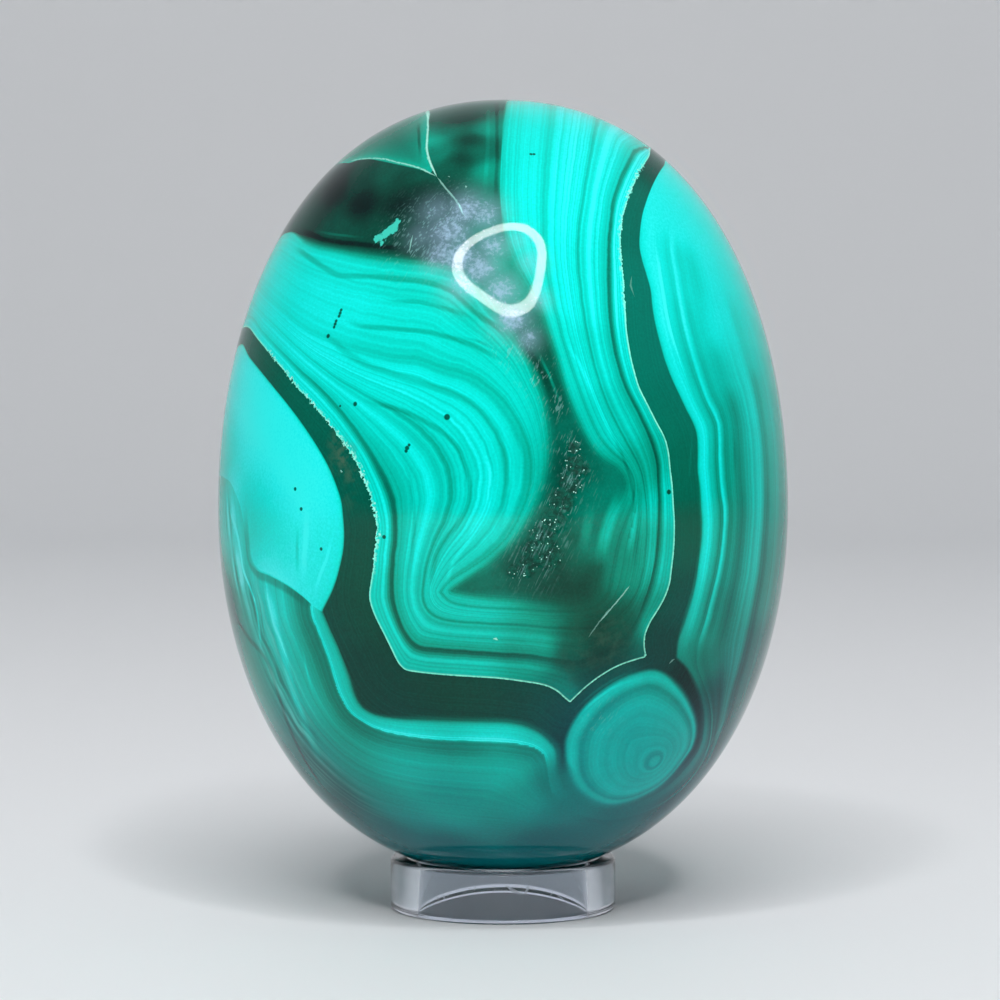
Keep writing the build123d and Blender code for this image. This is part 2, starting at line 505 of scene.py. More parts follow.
# Strength of the bands outside the dark band
OUTER_CONTRAST = [
    ((300, 620), 1.0), ((235, 540), 0.5), ((697, 672), 0.3), ((742, 660), 1.1), ((350, 700), 1.0),
    ((450, 740), 1.0), ((540, 745), 1.0), ((450, 830), 0.3), ((450, 780), 0.8), ((600, 830), 0.15),
    ((555, 772), 0.2), ((566, 803), 0.0), ((530, 785), 0.4), ((700, 780), 0.8), ((742, 700), 1.1),
    ((720, 600), 1.1), ((720, 520), 1.1), ((720, 460), 1.0), ((715, 425), 0.9), ((735, 415), 0.85),
    ((700, 385), 0.65), ((722, 375), 0.35), ((690, 330), 0.5), ((715, 330), 0.05), ((680, 270), 0.3),
    ((720, 270), 0.0), ((680, 225), 0.0), ((745, 345), 0.2), ((755, 400), 0.6), ((700, 200), 0.0),
    (behind(120, 0), 0.9), (behind(160, -18), 1.0), (behind(220, -18), 1.0), (behind(-100, -5), 0.9),
]

# Brightness of the dark heart
HEART_LEVEL = [
    ((310, 215), 0.22), ((335, 190), 0.05), ((360, 205), 0.10), ((400, 200), 0.13), ((340, 226), 0.30),
    ((300, 226), 0.26), ((380, 232), 0.26), ((360, 175), 0.24), ((400, 176), 0.26), ((340, 242), 0.26),
    ((430, 240), 0.22), ((420, 190), 0.17), ((445, 200), 0.22), ((420, 176), 0.30), ((390, 172), 0.32),
    ((432, 140), 0.64), ((440, 155), 0.50), ((449, 130), 0.40), ((451, 165), 0.34), ((460, 120), 0.20),
    ((461, 160), 0.20), ((471, 140), 0.22), ((480, 150), 0.42), ((489, 130), 0.58), ((489, 170), 0.60),
    ((484, 200), 0.48), ((470, 205), 0.28), ((490, 225), 0.5), ((505, 255), 0.62), ((470, 255), 0.4),
    ((515, 300), 0.62), ((525, 325), 0.42), ((533, 355), 0.32), ((545, 375), 0.36), ((555, 400), 0.34),
    ((570, 430), 0.40), ((548, 440), 0.36), ((565, 470), 0.28), ((592, 472), 0.38), ((610, 470), 0.46),
    ((600, 500), 0.5), ((575, 540), 0.36), ((545, 560), 0.28), ((520, 575), 0.30), ((560, 585), 0.26),
    ((500, 588), 0.40), ((600, 585), 0.26), ((590, 540), 0.5), ((535, 520), 0.34), ((480, 585), 0.40),
    (behind(180, 30), 0.3), (behind(240, 22), 0.3),
]

# Width over which the heart's edge fades, mm
HEART_BLUR = [
    ((505, 112), 0.35), ((502, 160), 0.12), ((501, 200), 0.18), ((520, 270), 0.8), ((545, 330), 0.9),
    ((565, 390), 0.6), ((590, 445), 0.7), ((622, 478), 0.7), ((606, 520), 2.2), ((600, 570), 2.2),
    ((292, 232), 0.3), ((320, 246), 0.9), ((380, 257), 1.1), ((430, 261), 1.0), ((500, 315), 1.2),
    ((540, 385), 1.0), ((550, 440), 1.1), ((540, 500), 1.8), ((505, 552), 1.5), ((465, 582), 0.6),
    ((500, 597), 1.2), ((560, 602), 1.6), (behind(180, 31), 0.4), (behind(240, 19), 0.8),
]

# How far the colour turns from warm green to cool blue-green: painted bluish light, strongest low down and
# towards the sides
PAINTED_COOL_LIGHT = [
    ((450, 850), 1.0), ((560, 850), 1.0), ((450, 790), 0.75), ((450, 745), 0.35), ((450, 700), 0.05),
    ((650, 830), 1.0), ((720, 760), 1.0), ((740, 680), 0.7), ((770, 560), 0.45), ((775, 450), 0.35),
    ((630, 740), 0.9), ((650, 780), 1.0), ((690, 650), 0.25), ((300, 740), 0.7), ((250, 640), 0.45),
    ((225, 500), 0.3), ((340, 690), 0.15), ((400, 600), 0.0), ((600, 600), 0.0), ((690, 500), 0.0),
    ((300, 400), 0.1), ((500, 300), 0.0), ((700, 300), 0.2), (behind(120, -20), 0.7),
    (behind(240, -20), 0.7), (behind(180, 10), 0.1),
]

# Single veins that cross or join the layers: marks, half width in mm, change of tone
VEINS = [
    [
        ([(293, 246), (310, 258), (325, 268), (340, 275), (360, 276), (400, 279), (430, 283), (445, 288),
          (454, 293), (477, 314), (501, 330), (520, 352)], 0.34, -0.15),
        ([(342, 318), (362, 326), (400, 329), (429, 332), (440, 335), (468, 343), (490, 354),
          (512, 365)], 0.30, -0.15),
        ([(497, 100), (497, 130), (497, 160), (496, 185), (496, 207)], 0.22, -0.13),
        ([(560, 330), (570, 348), (580, 365), (590, 387), (600, 410), (611, 436), (620, 460)], 0.24, 0.07),
        ([(624, 484), (617, 503), (610, 520), (604, 540), (600, 570)], 0.75, 0.24),
        ([(307, 500), (306, 530), (304, 560), (303, 590)], 0.40, 0.05),
        ([(228, 505), (236, 530), (240, 550), (243, 570), (249, 585), (254, 600), (258, 620), (260, 640),
          (261, 654)], 0.26, 0.26),
        ([(655, 240), (661, 278), (666, 310), (672, 335), (681, 362), (693, 395)], 0.22, 0.08),
        ([(692, 425), (691, 455), (688, 485)], 0.16, 0.06),
        ([(570, 716), (588, 698), (608, 683), (628, 673), (646, 667)], 0.16, 0.10),
        ([(360, 399), (380, 404), (400, 410), (420, 419), (442, 432), (457, 447), (466, 467), (470, 487),
          (468, 504), (460, 521), (447, 537), (438, 552), (433, 569), (431, 592)], 0.30, -0.15),
        ([(735, 700), (722, 725), (706, 752), (690, 780), (668, 802)], 0.3, 0.05),
    ],
    [
        ([(380, 301), (400, 301), (420, 302), (436, 306), (457, 312), (480, 322)], 0.28, -0.12),
        ([(296, 229), (320, 238), (340, 242), (360, 244), (385, 247), (415, 250)], 0.34, -0.14),
        ([(637, 500), (633, 528), (627, 562)], 0.40, 0.15),
        ([(245, 505), (247, 540), (250, 562), (258, 574), (271, 580), (288, 590), (302, 600),
          (312, 609)], 0.55, -0.17),
        ([(228, 590), (234, 612), (242, 628), (250, 640), (259, 650), (267, 662), (273, 678), (280, 700),
          (291, 732), (306, 762), (330, 796)], 0.42, -0.15),
        ([(419, 120), (419, 140), (421, 163)], 0.20, -0.18),
        ([(488, 104), (488, 130), (487, 160), (484, 200)], 0.26, 0.06),
        ([(480, 440), (490, 470), (490, 490), (486, 510), (468, 541), (453, 563), (442, 600)], 0.26, 0.08),
        ([(510, 330), (530, 355), (545, 378), (556, 410)], 0.40, -0.10),
        ([(611, 430), (626, 465), (634, 500), (629, 535)], 0.20, -0.10),
        ([(572, 728), (583, 712), (598, 698), (618, 685), (640, 677)], 0.20, 0.12),
        ([(734, 420), (735, 450), (736, 485)], 0.3, -0.06),
        ([(700, 520), (696, 580), (686, 625)], 0.12, -0.04),
    ],
    [
        ([(312, 231), (333, 234), (350, 236), (370, 238)], 0.16, 0.12),
        ([(592, 500), (587, 528), (579, 560)], 0.6, 0.12),
        ([(333, 530), (327, 557), (320, 575), (313, 600)], 0.22, 0.07),
        ([(535, 345), (549, 375), (562, 408)], 0.16, 0.20),
        ([(320, 330), (350, 355), (370, 366), (390, 373), (410, 380), (430, 386), (450, 393), (470, 402),
          (485, 415), (497, 432), (503, 450), (507, 480), (503, 510), (492, 540)], 0.40, -0.10),
        ([(262, 578), (270, 602), (279, 640), (285, 662), (296, 700), (310, 738), (326, 768)], 0.75, 0.12),
    ],
    [
        ([(298, 520), (297, 550), (298, 580)], 0.26, -0.07),
        ([(252, 580), (259, 602), (265, 640), (268, 650)], 0.16, -0.16),
        ([(302, 640), (306, 668), (316, 702)], 0.20, 0.10),
        ([(455, 335), (480, 342), (503, 354)], 0.16, -0.10),
        ([(636, 470), (640, 500), (637, 540), (631, 575)], 0.26, -0.10),
        ([(655, 470), (656, 520), (652, 570), (644, 602)], 0.10, 0.10),
        ([(400, 452), (410, 480), (414, 510), (413, 545), (408, 590)], 0.22, -0.08),
        ([(516, 425), (522, 455), (520, 485), (510, 512)], 0.2, 0.05),
    ],
]

# Milky veins, cracks, chips and scratches: marks, half width in mm, strength
WHITE_MARKS = [
    [
        ([(428, 110), (428, 126), (427, 140), (427, 150), (430, 162), (437, 177)], 0.12, 0.8),
        ([(630, 585), (622, 596), (614, 605), (600, 622)], 0.07, 0.5),
        ([(413, 234), (411, 242), (409, 253)], 0.08, 0.5),
        ([(493, 639), (496, 639), (498, 640)], 0.16, 0.7),
        ([(669, 664), (672, 661), (675, 659)], 0.12, 0.3),
        ([(632, 275), (631, 286), (635, 297)], 0.12, 0.2),
    ],
    [
        ([(427, 108), (428, 113), (429, 120)], 0.24, 0.6),
        ([(448, 176), (449, 176), (450, 177)], 0.10, 0.5),
        ([(465, 185), (466, 186), (466, 188)], 0.12, 0.5),
        ([(458, 202), (461, 208), (463, 214)], 0.14, 0.7),
        ([(340, 470), (341, 471), (343, 472)], 0.16, 0.6),
        ([(350, 161), (360, 159), (372, 158), (385, 159), (397, 162), (410, 165), (422, 169), (430, 173),
          (436, 176)], 0.11, 0.55),
        ([(610, 608), (598, 624), (588, 638)], 0.07, 0.25),
    ],
    [
        ([(437, 177), (445, 187), (450, 193), (455, 199), (459, 205), (462, 212), (468, 219)], 0.10, 0.42),
    ],
]

# Small pits, darkened with painted shade: pixel and radius in mm
PITS = [
    ((341, 310), 0.14), ((340, 313), 0.15), ((339, 316), 0.14), ((336, 321), 0.14), ((335, 324), 0.15),
    ((334, 327), 0.13), ((328, 336), 0.18), ((355, 404), 0.18), ((447, 417), 0.24), ((409, 445), 0.12),
    ((407, 448), 0.18), ((406, 451), 0.14), ((295, 489), 0.15), ((301, 509), 0.15), ((321, 549), 0.14),
    ((384, 537), 0.16), ((669, 492), 0.20), ((531, 154), 0.13), ((534, 154), 0.13), ((340, 406), 0.10),
]

# Soft patches, each a mark, a size in mm and a strength: first the whitish haze on the polish round the
# lamp's reflection, partly real haze and partly painted glare from that highlight
HAZE_AND_GLARE = [
    ((450, 232), 2.2, 0.75), ((438, 212), 1.7, 0.50), ((466, 210), 1.8, 0.78), ((443, 254), 1.6, 0.74),
    ((424, 236), 1.5, 0.42), ((484, 214), 1.6, 0.75), ((480, 268), 1.8, 0.80), ((462, 284), 1.5, 0.70),
    ((500, 290), 1.6, 0.80), ((516, 240), 1.2, 0.36), ((530, 262), 1.2, 0.40), ((512, 318), 1.5, 0.85),
    ((527, 338), 1.1, 0.62), ((537, 300), 1.0, 0.55), ((492, 245), 1.6, 0.70), ((460, 258), 1.7, 0.9),
]
# Where the polish has fine slanted scratches
SCRATCHED = [
    ((425, 230), 2.8, 1.0), ((445, 212), 2.2, 1.0), ((410, 246), 2.0, 0.9), ((436, 258), 1.6, 0.9),
    ((520, 340), 1.8, 1.0), ((540, 375), 1.4, 0.9), ((556, 405), 1.1, 0.8), ((572, 450), 1.4, 0.9),
    ((572, 480), 1.6, 1.0), ((558, 510), 1.8, 0.8), ((545, 540), 2.0, 0.8), ((530, 565), 1.8, 0.8),
    ((600, 718), 1.6, 0.25),
]
# The small hollow with its crystals, whose sparkle is painted as bright glints
HOLLOW = [
    ((574, 448), 0.7, 0.9), ((575, 466), 1.0, 1.0), ((570, 484), 1.1, 1.0), ((562, 502), 1.2, 1.0),
    ((553, 520), 1.2, 1.0), ((544, 538), 1.4, 1.0), ((535, 553), 1.4, 1.0), ((527, 567), 1.1, 0.9),
    ((550, 558), 1.3, 0.9), ((585, 470), 0.8, 0.7), ((512, 571), 0.9, 0.7),
]
# Greyish, cloudy stone
GREYNESS = [
    ((343, 457), 1.1, 0.9), ((337, 442), 0.8, 0.7), ((350, 474), 0.7, 0.6), ((348, 500), 0.8, 0.2),
    ((605, 640), 2.2, 0.25), ((580, 662), 1.4, 0.2),
]
# The pale flake in the dark heart
FLAKE = [
    ((393, 228), 0.60, 1.0), ((386, 233), 0.55, 1.0), ((377, 238), 0.50, 0.9), ((382, 243), 0.32, 0.9),
    ((398, 221), 0.36, 0.9),
]
# Where the outer layers run in waves and turn milky
WAVY = [
    ((228, 520), 1.6, 0.8), ((238, 575), 1.8, 1.0), ((255, 605), 2.0, 1.0), ((270, 640), 2.0, 1.0),
    ((282, 680), 2.0, 0.9), ((296, 720), 2.2, 0.7), ((320, 770), 2.4, 0.5), ((352, 800), 2.4, 0.35),
]
# The ragged parts of the pale body's edge
RAGGED = [
    ((272, 356), 1.0, 0.8), ((290, 380), 1.2, 1.0), ((310, 403), 1.2, 1.0), ((330, 426), 1.2, 1.0),
    ((348, 450), 1.2, 1.0), ((362, 476), 1.2, 1.0), ((373, 508), 1.2, 1.0), ((376, 535), 1.0, 0.9),
    ((373, 560), 1.0, 0.5), ((640, 172), 1.6, 0.9), ((630, 195), 1.4, 0.8), ((622, 225), 1.4, 0.5),
    ((622, 260), 1.4, 0.5), ((625, 295), 1.2, 0.4),
]

HOLLOW_DEPTH = 0.22            # mm
HOLLOW_SEED = 7                # picks the roughness of its bottom

# A pixel on the inner side of each closed curve
IN_BODY = (400, 400)
IN_HEART = (575, 470)
IN_LOBE = (280, 480)
IN_WEDGE = (400, 140)
IN_EYE = (630, 740)

BEYOND = 0.3                   # how fast the layers are counted on past the seam or the band
OUTER_LAYER_WIDTH = 4          # mm from one outer layer to the next, past the second

# ---------------------------------------------------------------------------------------------
# Modelling
# ---------------------------------------------------------------------------------------------


def start_clean():
    """Nothing selected, so that the next operator acts on the new piece alone."""
    if bpy.context.object and bpy.context.object.mode != "OBJECT":
        bpy.ops.object.mode_set(mode="OBJECT")
    bpy.ops.object.select_all(action="DESELECT")


def coordinates(mesh):
    flat = np.zeros(len(mesh.vertices) * 3)
    mesh.vertices.foreach_get("co", flat)
    return flat.reshape(-1, 3)


def note_on(mesh, name, values):
    """Stores one number, or three, for each vertex, for the stone's material to read."""
    kind, field = ("FLOAT", "value") if values.ndim == 1 else ("FLOAT_VECTOR", "vector")
    note = mesh.attributes.new(name, kind, "POINT")
    note.data.foreach_set(field, values.astype(np.float32).ravel())


def make_egg(rubs):
    """The egg: a cube divided into even quads, rounded to a ball and drawn to the egg's outline."""
    start_clean()
    bpy.ops.mesh.primitive_cube_add(size=2)
    egg = bpy.context.object
    egg.name = "polished_egg"
    bpy.ops.object.mode_set(mode="EDIT")
    bpy.ops.mesh.select_all(action="SELECT")
    for _ in range(HALVINGS_OF_FACE):
        bpy.ops.mesh.subdivide(number_cuts=1)
    bpy.ops.object.mode_set(mode="OBJECT")
    direction = np.tan(coordinates(egg.data) * math.pi / 4)
    direction /= length_of(direction)
    direction = drawn_to_front(direction)
    points = on_egg(direction)
    note_bands(egg.data, points)
    points = points * (1 - (SKIN + hollow_depth(points)[:, None]) / length_of(points))
    points[:, 2] += BELLY_LEVEL
    egg.data.vertices.foreach_set("co", (points * MM).ravel())
    egg.data.update()
    bpy.ops.object.shade_smooth()
    egg.data.materials.clear()
    egg.data.materials.append(malachite(rubs))
    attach(egg, "egg")
    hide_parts("malachite_egg")


def hollow_depth(points):
    """How deep the small sparkling hollow is, rough at its bottom, mm."""
    rough = np.random.default_rng(HOLLOW_SEED).uniform(0.35, 1.0, len(points))
    return HOLLOW_DEPTH * rough * patches(points, HOLLOW) ** 2


def drawn_to_front(direction):
    """Directions crowded towards the front, where the bands are finest, keeping the quads square."""
    from_front = np.arccos(np.clip(-direction[:, 1], -1, 1))
    nearer = 2 * np.arctan(np.tan(np.minimum(from_front, math.pi - 1e-6) / 2) / FRONT_PULL)
    around = np.hypot(direction[:, 0], direction[:, 2]) + 1e-12
    return np.stack([
        direction[:, 0] / around * np.sin(nearer),
        -np.cos(nearer),
        direction[:, 2] / around * np.sin(nearer),
    ], 1)


def between_curves(inner, outer):
    """0 on the inner curve, 1 on the outer one, from the signed distances to both."""
    inner, outer = np.maximum(inner, 0), np.maximum(outer, 0)
    return inner / (inner + outer + 1e-6)


def note_bands(mesh, points):
    """Works out where each point lies among the stone's layers."""
    seam = depth_in(points, SEAM, IN_BODY)
    band = depth_in(points, BAND, IN_BODY)
    edge = depth_in(points, EDGE_LINE, IN_HEART)
    middle = depth_in(points, MIDDLE, IN_HEART)
    inner = depth_in(points, INNER, IN_HEART)
    heart = depth_in(points, HEART, IN_HEART)
    first = depth_in(points, OUTER_ONE, IN_BODY)
    second = depth_in(points, OUTER_TWO, IN_BODY)

    # Layers inwards: seam 0, edge line 1, middle 2, inner 3, heart 4
    layer = between_curves(seam, -edge)
    layer = np.where(edge > 0, 1 + between_curves(edge, -middle), layer)
    layer = np.where(middle > 0, 2 + between_curves(middle, -inner), layer)
    layer = np.where(inner > 0, 3 + between_curves(inner, -heart), layer)
    layer = np.where(heart > 0, 4 + heart, layer)
    note_on(mesh, "layer", np.where(seam < 0, BEYOND * seam, layer))

    # Layers outwards: band's outer side 0, first layer 1, second 2, then by distance
    outer = between_curves(-band, first)
    outer = np.where(first < 0, 1 + between_curves(-first, second), outer)
    outer = np.where(second < 0, 2 - second / OUTER_LAYER_WIDTH, outer)
    note_on(mesh, "outer_layer", np.where(band > 0, -BEYOND * band, outer))

    note_on(mesh, "from_seam", seam)
    note_on(mesh, "from_band", band)
    note_on(mesh, "from_heart", heart)
    note_on(mesh, "in_lobe", depth_in(points, LOBE, IN_LOBE))
    note_on(mesh, "in_wedge", depth_in(points, WEDGE, IN_WEDGE))

    # The eyes' rings: 1 at the rim, 0 at the middle
    eye = depth_in(points, EYE, IN_EYE)
    to_middle = np.linalg.norm(points - place(EYE_MIDDLE), axis=1)
    note_on(mesh, "in_eye", eye)
    note_on(mesh, "eye_ring", to_middle / (to_middle + np.maximum(eye, 0)))
    note_on(mesh, "back_eye_ring", np.linalg.norm(points - BACK_EYE_MIDDLE, axis=1) / BACK_EYE_RADIUS)

    for name, notes, softness in (
        ("body_contrast", BODY_CONTRAST, 2.5),
        ("body_tone_and_shading", BODY_TONE_AND_SHADING, 1.2),
        ("band_level", BAND_LEVEL, 1.5),
        ("outer_tone_and_shading", OUTER_TONE_AND_SHADING, 2.0),
        ("outer_contrast", OUTER_CONTRAST, 1.5),
        ("band_blur", BAND_BLUR, 1.0),
        ("eye_blur", EYE_BLUR, 0.6),
        ("heart_level", HEART_LEVEL, 1.0),
        ("heart_blur", HEART_BLUR, 2.0),
        ("painted_cool_light", PAINTED_COOL_LIGHT, 3.0),
    ):
        note_on(mesh, name, toned(points, notes, softness))
    for name, notes in (
        ("haze_and_glare", HAZE_AND_GLARE),
        ("scratched", SCRATCHED),
        ("hollow", HOLLOW),
        ("greyness", GREYNESS),
        ("flake", FLAKE),
        ("wavy", WAVY),
        ("ragged", RAGGED),
    ):
        note_on(mesh, name, patches(points, notes))
    for i, veins in enumerate(VEINS):
        note_strokes(mesh, points, f"veins_{i}", veins, fading=True)
    for i, marks in enumerate(WHITE_MARKS):
        note_strokes(mesh, points, f"white_marks_{i}", marks, fading=False)


STROKE_MARGIN = 0.34           # how far past a stroke's side its numbers are kept, mm
STROKE_REACH = 30              # points farther than this from a stroke's middle are left out, mm
FAR_OFF = 9.0                  # stands for the distance of such a point from the stroke, mm
FADING_END = 3.0               # how long a fading stroke's ends are, mm
NARROW_END = 8                 # how long a narrowing stroke's ends are, times its half width
BLUNTNESS = 8                  # how much sooner a fading stroke reaches its width than its strength


def note_strokes(mesh, points, name, strokes, fading):
    """Stores, for the nearest stroke, the distance across it, its half width and its strength.

    A stroke either fades towards its ends or narrows.
    """
    nearest = np.full(len(points), np.inf)
    across = np.full(len(points), 1.0)
    width = np.full(len(points), -1.0)
    strength = np.zeros(len(points))
    for marks, half_width, change in strokes:
        line = drawn(marks, closed=False)
        reach_of_stroke = half_width + STROKE_MARGIN
        middle = line[len(line) // 2]
        near = np.linalg.norm(points - middle, axis=1) < STROKE_REACH
        offset, room, gap = (np.full(len(points), FAR_OFF) for _ in range(3))
        offset[near], room[near], gap[near] = offset_from(points[near], line)
        closer = (gap < nearest) & (gap < reach_of_stroke)
        nearest = np.where(closer, gap, nearest)
        across = np.where(closer, offset, across)
        length = np.linalg.norm(np.diff(line, axis=0), axis=1).sum()
        near_end = np.minimum(length / 2, FADING_END if fading else NARROW_END * half_width)
        full = np.clip(room / near_end, -1, 1)
        width = np.where(closer, half_width * (np.clip(BLUNTNESS * full, -1, 1) if fading else full), width)
        strength = np.where(closer, change * (smooth(0, 1, full) if fading else 1), strength)
    note_on(mesh, name, np.stack([across, width, strength], 1))


def make_ring(rubs):
    """The stand: one section of the wall, its corners rounded, spun into a smooth ring."""
    bore = RING_RADIUS - RIM_LAND - SEAT_WIDTH
    seat = RING_RADIUS - RIM_LAND
    steep = np.gradient(OUTLINE[:, 1], OUTLINE[:, 0] + 1e-9 * np.arange(len(OUTLINE)))
    lower = OUTLINE[:, 1] < -BASE_DEPTH / 2
    slope = np.interp((seat + bore) / 2, OUTLINE[lower, 0], steep[lower])
    section = [
        (bore, 0, LIP_ROUND),
        (RING_RADIUS, 0, RIM_ROUND),
        (RING_RADIUS, RING_HEIGHT, RIM_ROUND),
        (seat, RING_HEIGHT, EDGE_ROUND),
        (bore, RING_HEIGHT - SEAT_WIDTH * slope, LIP_ROUND),
    ]
    start_clean()
    bpy.ops.mesh.primitive_circle_add(vertices=len(section), fill_type="NGON")
    ring = bpy.context.object
    ring.name = "clear_ring"
    for vertex, (x, z, _) in zip(ring.data.vertices, section):
        vertex.co = (x * MM, 0, z * MM)
    for radius in sorted({corner[2] for corner in section}, reverse=True):
        round_corners(ring, [corner for corner in section if corner[2] == radius], radius)
    bpy.ops.object.mode_set(mode="EDIT")
    bpy.ops.mesh.select_all(action="SELECT")
    bpy.ops.mesh.delete(type="ONLY_FACE")
    bpy.ops.mesh.select_all(action="SELECT")
    bpy.ops.mesh.spin(steps=RING_STEPS, angle=2 * math.pi, center=(0, 0, 0), axis=(0, 0, 1))
    bpy.ops.mesh.select_all(action="SELECT")
    bpy.ops.mesh.remove_doubles(threshold=1e-7)
    bpy.ops.mesh.normals_make_consistent(inside=False)
    bpy.ops.object.mode_set(mode="OBJECT")
    bpy.ops.object.shade_smooth_by_angle(angle=math.radians(35))
    ring.data.materials.clear()
    ring.data.materials.append(clear_acrylic(rubs))
    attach(ring, "stand")
    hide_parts("ring_stand")


def round_corners(piece, corners, radius):
    """Rounds the flat section's corners that lie at the given places."""
    bpy.ops.object.mode_set(mode="EDIT")
    bpy.ops.mesh.select_mode(type="VERT")
    bpy.ops.mesh.select_all(action="DESELECT")
    bpy.ops.object.mode_set(mode="OBJECT")
    for vertex in piece.data.vertices:
        vertex.select = any(
            (vertex.co - Vector((x * MM, 0, z * MM))).length < 1e-7 for x, z, _ in corners
        )
    bpy.ops.object.mode_set(mode="EDIT")
    bpy.ops.mesh.bevel(offset=radius * MM, segments=8, affect="VERTICES")
    bpy.ops.object.mode_set(mode="OBJECT")


# ---------------------------------------------------------------------------------------------
# Materials
# ---------------------------------------------------------------------------------------------


def paint(red, green, blue):
    """A colour, 0 to 255 a channel, as the shader's linear colour."""
    linear = [
        c / 255 / 12.92 if c <= 10 else ((c / 255 + 0.055) / 1.055) ** 2.4 for c in (red, green, blue)
    ]
    return (*linear, 1.0)


class Bench:
    """Short ways to add and link shader nodes."""

    def __init__(self, tree):
        self.tree = tree

    def node(self, kind, **settings):
        made = self.tree.nodes.new(kind)
        for name, value in settings.items():
            setattr(made, name, value)
        return made

    def feed(self, socket, value):
        if isinstance(value, bpy.types.NodeSocket):
            self.tree.links.new(value, socket)
        else:
            socket.default_value = value

    def math(self, operation, *values):
        made = self.node("ShaderNodeMath", operation=operation)
        for socket, value in zip(made.inputs, values):
            self.feed(socket, value)
        return made.outputs[0]

    def note(self, name):
        return self.node("ShaderNodeAttribute", attribute_name=name).outputs["Fac"]

    def note_parts(self, name):
        """The three numbers of a note stored as a vector."""
        parts = self.node("ShaderNodeSeparateXYZ")
        self.feed(parts.inputs[0], self.node("ShaderNodeAttribute", attribute_name=name).outputs["Vector"])
        return parts.outputs

    def between(self, value, low, high, to_low=0.0, to_high=1.0, soft=True):
        made = self.node(
            "ShaderNodeMapRange", interpolation_type="SMOOTHSTEP" if soft else "LINEAR", clamp=True
        )
        for socket, number in zip(made.inputs, (value, low, high, to_low, to_high)):
            self.feed(socket, number)
        return made.outputs[0]

    def tones(self, value, stops):
        """A tone, 0 dark to 1 pale, that follows a value through the given stops."""
        low, high = stops[0][0], stops[-1][0]
        ramp = self.node("ShaderNodeValToRGB")
        fill(ramp, [((at - low) / (high - low), (tone, tone, tone, 1)) for at, tone in stops])
        self.feed(ramp.inputs[0], self.between(value, low, high, soft=False))
        return self.math("MULTIPLY", ramp.outputs["Color"], 1.0)

    def mix(self, share, first, second):
        made = self.node("ShaderNodeMix", data_type="FLOAT")
        for name, value in (("Factor", share), ("A", first), ("B", second)):
            self.feed(next(s for s in made.inputs if s.name == name and s.enabled), value)
        return next(s for s in made.outputs if s.enabled)

    def blend(self, share, first, second):
        made = self.node("ShaderNodeMix", data_type="RGBA", blend_type="MIX")
        for name, value in (("Factor", share), ("A", first), ("B", second)):
            self.feed(next(s for s in made.inputs if s.name == name and s.enabled), value)
        return next(s for s in made.outputs if s.enabled)

    def noise(self, scale, detail=2.0, where=None, along=None, roughness=0.5):
        """Noise in the stone, or along one number only."""
        made = self.node("ShaderNodeTexNoise", noise_dimensions="1D" if along else "3D")
        made.inputs["Scale"].default_value = scale
        made.inputs["Detail"].default_value = detail
        made.inputs["Roughness"].default_value = roughness
        if along:
            self.feed(made.inputs["W"], along)
        elif where:
            self.feed(made.inputs["Vector"], where)
        return made.outputs[0]

    def ripple(self, scale, detail=2.0, where=None, along=None, roughness=0.5):
        """The same noise, running evenly either side of zero."""
        return self.math("SUBTRACT", self.noise(scale, detail, where, along, roughness), 0.5)

    def sharpened(self, tone, middle, contrast):
        """A tone drawn away from its middle, or towards it, by the contrast."""
        return self.math("MULTIPLY_ADD", self.math("SUBTRACT", tone, middle), contrast, middle)


def fill(ramp, stops):
    """Sets a colour ramp's stops."""
    elements = ramp.color_ramp.elements
    while len(elements) < len(stops):
        elements.new(0.5)
    for element, (position, colour) in zip(elements, sorted(stops)):
        element.position = position
        element.color = colour


def new_material(name):
    material = bpy.data.materials.new(name)
    material.use_nodes = True
    return material, material.node_tree.nodes["Principled BSDF"], Bench(material.node_tree)


# Tone of the layers beside the pale body's edge: 0 at the seam, 1 at the dark edge line
EDGE_TONES = [
    (0.0, 0.97), (0.06, 0.90), (0.14, 0.86), (0.34, 0.87), (0.42, 0.85), (0.50, 0.93), (0.56, 0.96),
    (0.62, 0.90), (0.72, 0.81), (0.80, 0.70), (0.87, 0.52), (0.94, 0.42), (1.0, 0.40),
]

# Tone from the edge line (1) to the middle layer (2)
OUTER_BODY_TONES = [
    (1.0, 0.40), (1.03, 0.46), (1.07, 0.62), (1.11, 0.74), (1.16, 0.71), (1.20, 0.75), (1.27, 0.82),
    (1.32, 0.78), (1.38, 0.85), (1.48, 0.89), (1.54, 0.87), (1.60, 0.91), (1.70, 0.89), (1.76, 0.86),
    (1.83, 0.80), (1.87, 0.83), (1.92, 0.76), (1.97, 0.69), (2.0, 0.68),
]

# Tone from the middle layer (2) by the inner one (3) to the dark heart (4)
INNER_BODY_TONES = [
    (2.0, 0.68), (2.03, 0.74), (2.08, 0.83), (2.12, 0.85), (2.16, 0.81), (2.22, 0.83), (2.30, 0.87),
    (2.40, 0.89), (2.46, 0.92), (2.52, 0.89), (2.62, 0.87), (2.72, 0.84), (2.82, 0.86), (2.90, 0.83),
    (2.95, 0.76), (2.98, 0.69), (3.02, 0.69), (3.06, 0.76), (3.12, 0.81), (3.24, 0.84), (3.38, 0.82),
    (3.52, 0.83), (3.66, 0.80), (3.78, 0.77), (3.88, 0.72), (4.0, 0.66),
]

